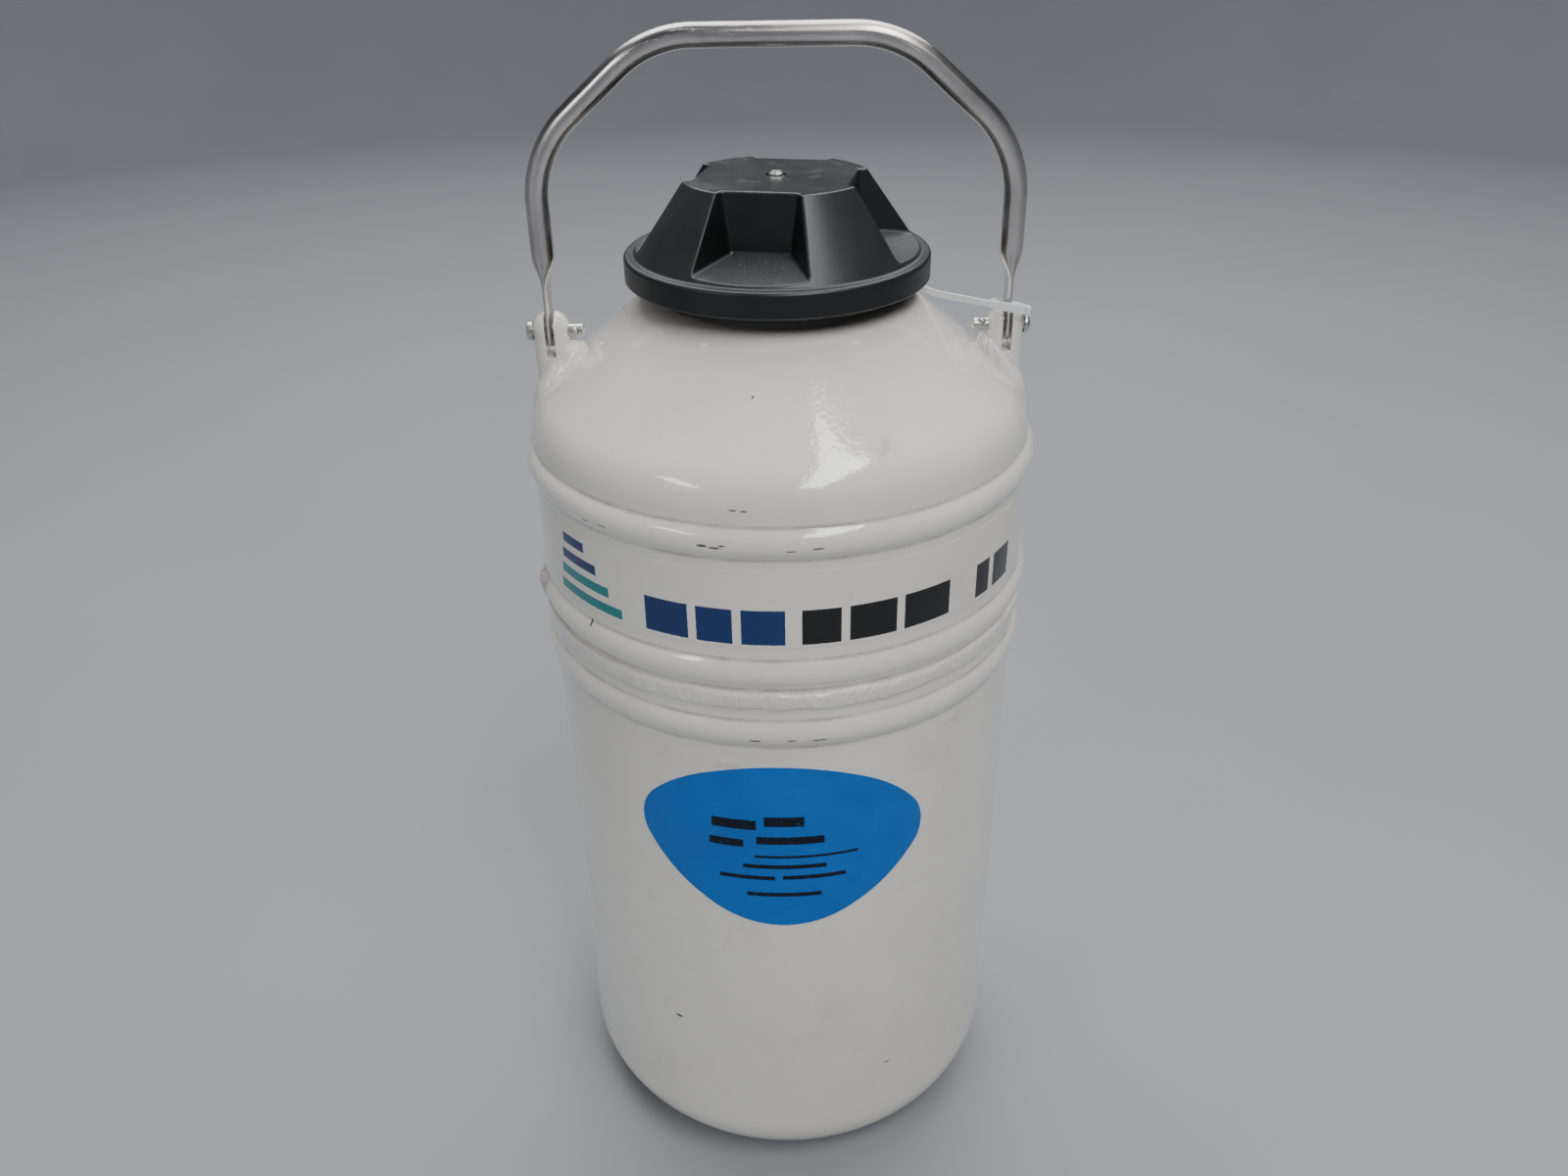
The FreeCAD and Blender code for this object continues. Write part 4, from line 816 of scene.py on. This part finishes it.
def make_handle():
    """Bent tube with pressed flats; each flat ends in a half round with an eye."""
    line = bail_line()
    height = line[:, 1]
    run = np.gradient(line, axis=0)
    run /= np.linalg.norm(run, axis=1)[:, None]
    side_way = np.stack([run[:, 1], -run[:, 0]], 1)
    thick, wide = leg_section(height)
    angle = np.linspace(0, 2 * math.pi, 96, endpoint=False)[None, :]
    c, s = np.cos(angle), np.sin(angle)
    out = c * thick[:, None]
    deep = s * thick[:, None] + np.sign(s) * np.abs(s) ** 0.4 * (wide - thick)[:, None]
    x = line[:, :1] + out * side_way[:, :1]
    z = line[:, 1:] + out * side_way[:, 1:] + PIN_Z
    tube = np.stack([x, deep, z], -1)
    ends = []
    for end in (0, -1):
        caps = []
        for low in np.linspace(0.12, 0.995, 14):
            ring = tube[end].copy()
            ring[:, 1] *= math.cos(low * math.pi / 2)
            ring[:, 2] -= FLAT_HALF_W * math.sin(low * math.pi / 2)
            caps.append(ring)
        ends.append(np.array(caps))
    rows = np.concatenate([ends[0][::-1], tube, ends[1]])
    faces = grid_faces(len(rows), rows.shape[1], wrap_rows=False)
    count = rows.shape[1]
    faces.append(list(range(count)))
    faces.append([(len(rows) - 1) * count + k for k in range(count)][::-1])
    piece = make_piece("bail", rows.reshape(-1, 3), faces, "polished_steel", 55.0)
    piece.data.materials[0] = DRAWN_STEEL
    along = np.linspace(0, len(rows) * 0.9, len(rows))[:, None] + 0 * angle
    flow = np.stack([along, 5.5 * c + 0 * along, 5.5 * s + 0 * along], -1) * MM
    piece.data.attributes.new("flow", "FLOAT_VECTOR", "POINT").data.foreach_set(
        "vector", flow.astype(np.float32).ravel())
    outward_faces(piece)
    for side in (-1, 1):
        bore_across(piece, (LEG_X * side, 0, PIN_Z), EYE_R, 8.0)
    piece.data.shade_smooth()
    piece.data.set_sharp_from_angle(angle=math.radians(45))
    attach(piece, "handle")
    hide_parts("handle_bail")


def bore_across(piece, centre, radius, length):
    """Cut a round hole along X with a boolean."""
    cutter = bpy.data.meshes.new("cutter")
    work = bmesh.new()
    place = Matrix.Translation(Vector(centre) * MM) @ Matrix.Rotation(math.pi / 2, 4, "Y")
    bmesh.ops.create_cone(work, cap_ends=True, segments=48, radius1=radius * MM,
                          radius2=radius * MM, depth=length * MM, matrix=place)
    work.to_mesh(cutter)
    work.free()
    tool = bpy.data.objects.new("cutter", cutter)
    bpy.context.scene.collection.objects.link(tool)
    hole = piece.modifiers.new("hole", "BOOLEAN")
    hole.operation, hole.object, hole.solver = "DIFFERENCE", tool, "EXACT"
    bake_modifiers(piece)
    bpy.data.objects.remove(tool)


make_handle()


# ---------------------------------------------------------------- tie
def flat_strip(name, line, height, thick, closed):
    """A strap standing on edge along a line of points, with rounded edges."""
    line = np.asarray(line)
    if closed:
        run = np.roll(line, -1, 0) - np.roll(line, 1, 0)
    else:
        run = np.gradient(line, axis=0)
    level = np.stack([-run[:, 1], run[:, 0]], 1)
    level /= np.linalg.norm(level, axis=1)[:, None]
    edge = 0.3
    half_t, half_h = thick / 2, height / 2
    section = []
    for sx, sz, start in ((1, 1, 0), (-1, 1, 90), (-1, -1, 180), (1, -1, 270)):
        for turn in (0, 30, 60, 90):
            a = math.radians(start + turn)
            section.append((sx * (half_t - edge) + edge * math.cos(a),
                            sz * (half_h - edge) + edge * math.sin(a)))
    section = np.array(section)
    rows = np.zeros((len(line), len(section), 3))
    rows[..., :2] = line[:, None, :2] + level[:, None, :] * section[None, :, :1]
    rows[..., 2] = line[:, None, 2] + section[None, :, 1]
    faces = grid_faces(len(line), len(section), wrap_rows=closed)
    if not closed:
        count = len(section)
        faces.append(list(range(count)))
        faces.append([(len(line) - 1) * count + k for k in range(count)][::-1])
    piece = make_piece(name, rows.reshape(-1, 3), faces, "nylon", 60.0)
    outward_faces(piece)
    return piece


def make_tie():
    """The nylon tie: loop on the collar, free run, ring on the handle leg, locking head."""
    turn = np.linspace(0, 2 * math.pi, 160, endpoint=False)
    loop = np.stack([LOOP_R * np.cos(turn), LOOP_R * np.sin(turn), 0 * turn + LOOP_Z], 1)
    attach(flat_strip("tie_loop", loop, 3.6, 1.2, True), "vessel")
    route = np.array([[20.2, 37.7, LOOP_Z], [61.0, 15.8, 493.1], [66.0, 13.1, 491.3],
                      [72.0, 9.9, 488.5], [78.0, 6.6, 486.8], [107.5, -9.4, 485.2]])
    run = flat_strip("tie_run", soften(even(route, 0.5), 5.0), 3.4, 1.1, False)
    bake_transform(run)
    corner, half_x, half_y, forward, tilt, sag = 4.4, 7.95, 9.4, 0.6, 0.20, 0.22
    middle_x = PIN_X + 1.45
    ring = []
    for sx, sy, start in ((1, 1, 0), (-1, 1, 90), (-1, -1, 180), (1, -1, 270)):
        for step in np.linspace(0, 90, 12):
            a = math.radians(start + step)
            x = sx * (half_x - corner) + corner * math.cos(a)
            y = sy * (half_y - corner) + corner * math.sin(a) - forward
            z = RING_Z - tilt * (x + half_x) - sag * (y + half_y + forward)
            ring.append((middle_x + x, y, z))
    ring = even(np.array(ring + ring[:1]), 0.6)[:-1]
    ring_piece = flat_strip("tie_ring", ring, 4.4, 1.2, True)
    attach(ring_piece, "handle")
    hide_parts("tether_strap")
    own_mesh(ring_piece)
    make_tie_head()


def rounded_box(name, low, high, edge, slot, rides):
    """A block with rounded edges."""
    work = bmesh.new()
    bmesh.ops.create_cube(work, size=1.0)
    for vertex in work.verts:
        vertex.co = Vector([low[k] + (vertex.co[k] + 0.5) * (high[k] - low[k]) for k in range(3)])
    bmesh.ops.bevel(work, geom=list(work.edges), offset=edge, segments=4, profile=0.5,
                    affect="EDGES")
    mesh = bpy.data.meshes.new(name)
    work.to_mesh(mesh)
    work.free()
    mesh.shade_smooth()
    mesh.set_sharp_from_angle(angle=math.radians(40))
    piece = bpy.data.objects.new(name, mesh)
    bpy.context.scene.collection.objects.link(piece)
    mesh.materials.append(MATERIALS[slot])
    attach(piece, rides)
    return piece


def make_tie_head():
    """The tie's locking head, outboard of the leg, lowered to where the ring slopes."""
    low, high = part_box("tether_head")
    drop, trim = Vector((0.0, 0.0, -0.0042)), Vector((-0.0006, 0.0, 0.0))
    head = rounded_box("tie_head", low + drop, high + drop + trim, 0.0006, "nylon", "handle")
    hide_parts("tether_head")
    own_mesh(head)


make_tie()


# ---------------------------------------------------------------- stage, light, camera
def make_stage():
    """A pale round floor that turns up into a wall well outside everything."""
    azimuth = np.linspace(0, 2 * math.pi, 96, endpoint=False)
    line = [(40, 0), (1200, 0), (FLOOR_R, 0)]
    line += [(FLOOR_R + WALL_BEND * math.sin(a), WALL_BEND - WALL_BEND * math.cos(a))
             for a in np.linspace(0.1, math.pi / 2, 16)]
    line += [(FLOOR_R + WALL_BEND, WALL_TOP)]
    rows = np.array([[(r * math.cos(a), r * math.sin(a), z) for a in azimuth] for r, z in line])
    mesh = bpy.data.meshes.new("floor")
    faces = grid_faces(len(line), len(azimuth), False, True)
    faces.append(list(range(len(azimuth))))
    mesh.from_pydata((rows.reshape(-1, 3) * MM).tolist(), [], faces)
    mesh.shade_smooth()
    floor = bpy.data.objects.new("floor", mesh)
    bpy.context.scene.collection.objects.link(floor)
    tree = Tree("floor_paint")
    colour = tree.mix(tree.noise(3.0, 2.0), rgb(0.26, 0.27, 0.29), rgb(0.29, 0.30, 0.32))
    tree.set(Base_Color=colour, Roughness=0.62)
    mesh.materials.append(tree.material)


def area_light(name, place, target, size_x, size_y, power):
    """A soft rectangular white light that faces its target."""
    lamp = bpy.data.lights.new(name, "AREA")
    lamp.shape, lamp.size, lamp.size_y = "RECTANGLE", size_x, size_y
    lamp.energy = power
    holder = bpy.data.objects.new(name, lamp)
    bpy.context.scene.collection.objects.link(holder)
    holder.location = place
    holder.rotation_euler = (Vector(target) - Vector(place)).to_track_quat("-Z", "Y").to_euler()


def make_light():
    """Two ceiling panels in front, a broad soft one above and behind, and a dim room."""
    world = bpy.data.worlds.new("room")
    bpy.context.scene.world = world
    world.use_nodes = True
    background = world.node_tree.nodes["Background"]
    background.inputs["Color"].default_value = rgb(0.62, 0.76, 0.95)
    background.inputs["Strength"].default_value = 0.10
    area_light("panel_right", (0.74, -1.70, 2.4), (0.74, -1.70, 0.0), 0.60, 2.44, 66)
    area_light("panel_left", (-2.6, -2.4, 2.4), (-2.6, -2.4, 0.0), 0.7, 1.5, 38)
    area_light("fill_top", (0.0, 1.35, 2.7), (0.0, 0.2, 0.3), 3.4, 2.6, 118)


def make_camera():
    """The main view: from straight in front, 29.84 degrees down, with a slight roll."""
    lens = bpy.data.cameras.new("camera")
    lens.sensor_width, lens.lens = 36.0, 29.25
    pitch, roll, yaw = math.radians(29.84), math.radians(-0.86), math.radians(-0.08)
    forward = Matrix.Rotation(yaw, 3, "Z") @ Vector((0, math.cos(pitch), -math.sin(pitch)))
    right = forward.cross(Vector((0, 0, 1))).normalized()
    up = right.cross(forward)
    right, up = (math.cos(roll) * right + math.sin(roll) * up,
                 math.cos(roll) * up - math.sin(roll) * right)
    camera = bpy.data.objects.new("camera", lens)
    camera.matrix_world = Matrix.Translation((0, -0.61035, 0.6746)) @ Matrix(
        (right, up, -forward)).transposed().to_4x4()
    bpy.context.scene.collection.objects.link(camera)
    bpy.context.scene.camera = camera


make_stage()
make_light()
make_camera()
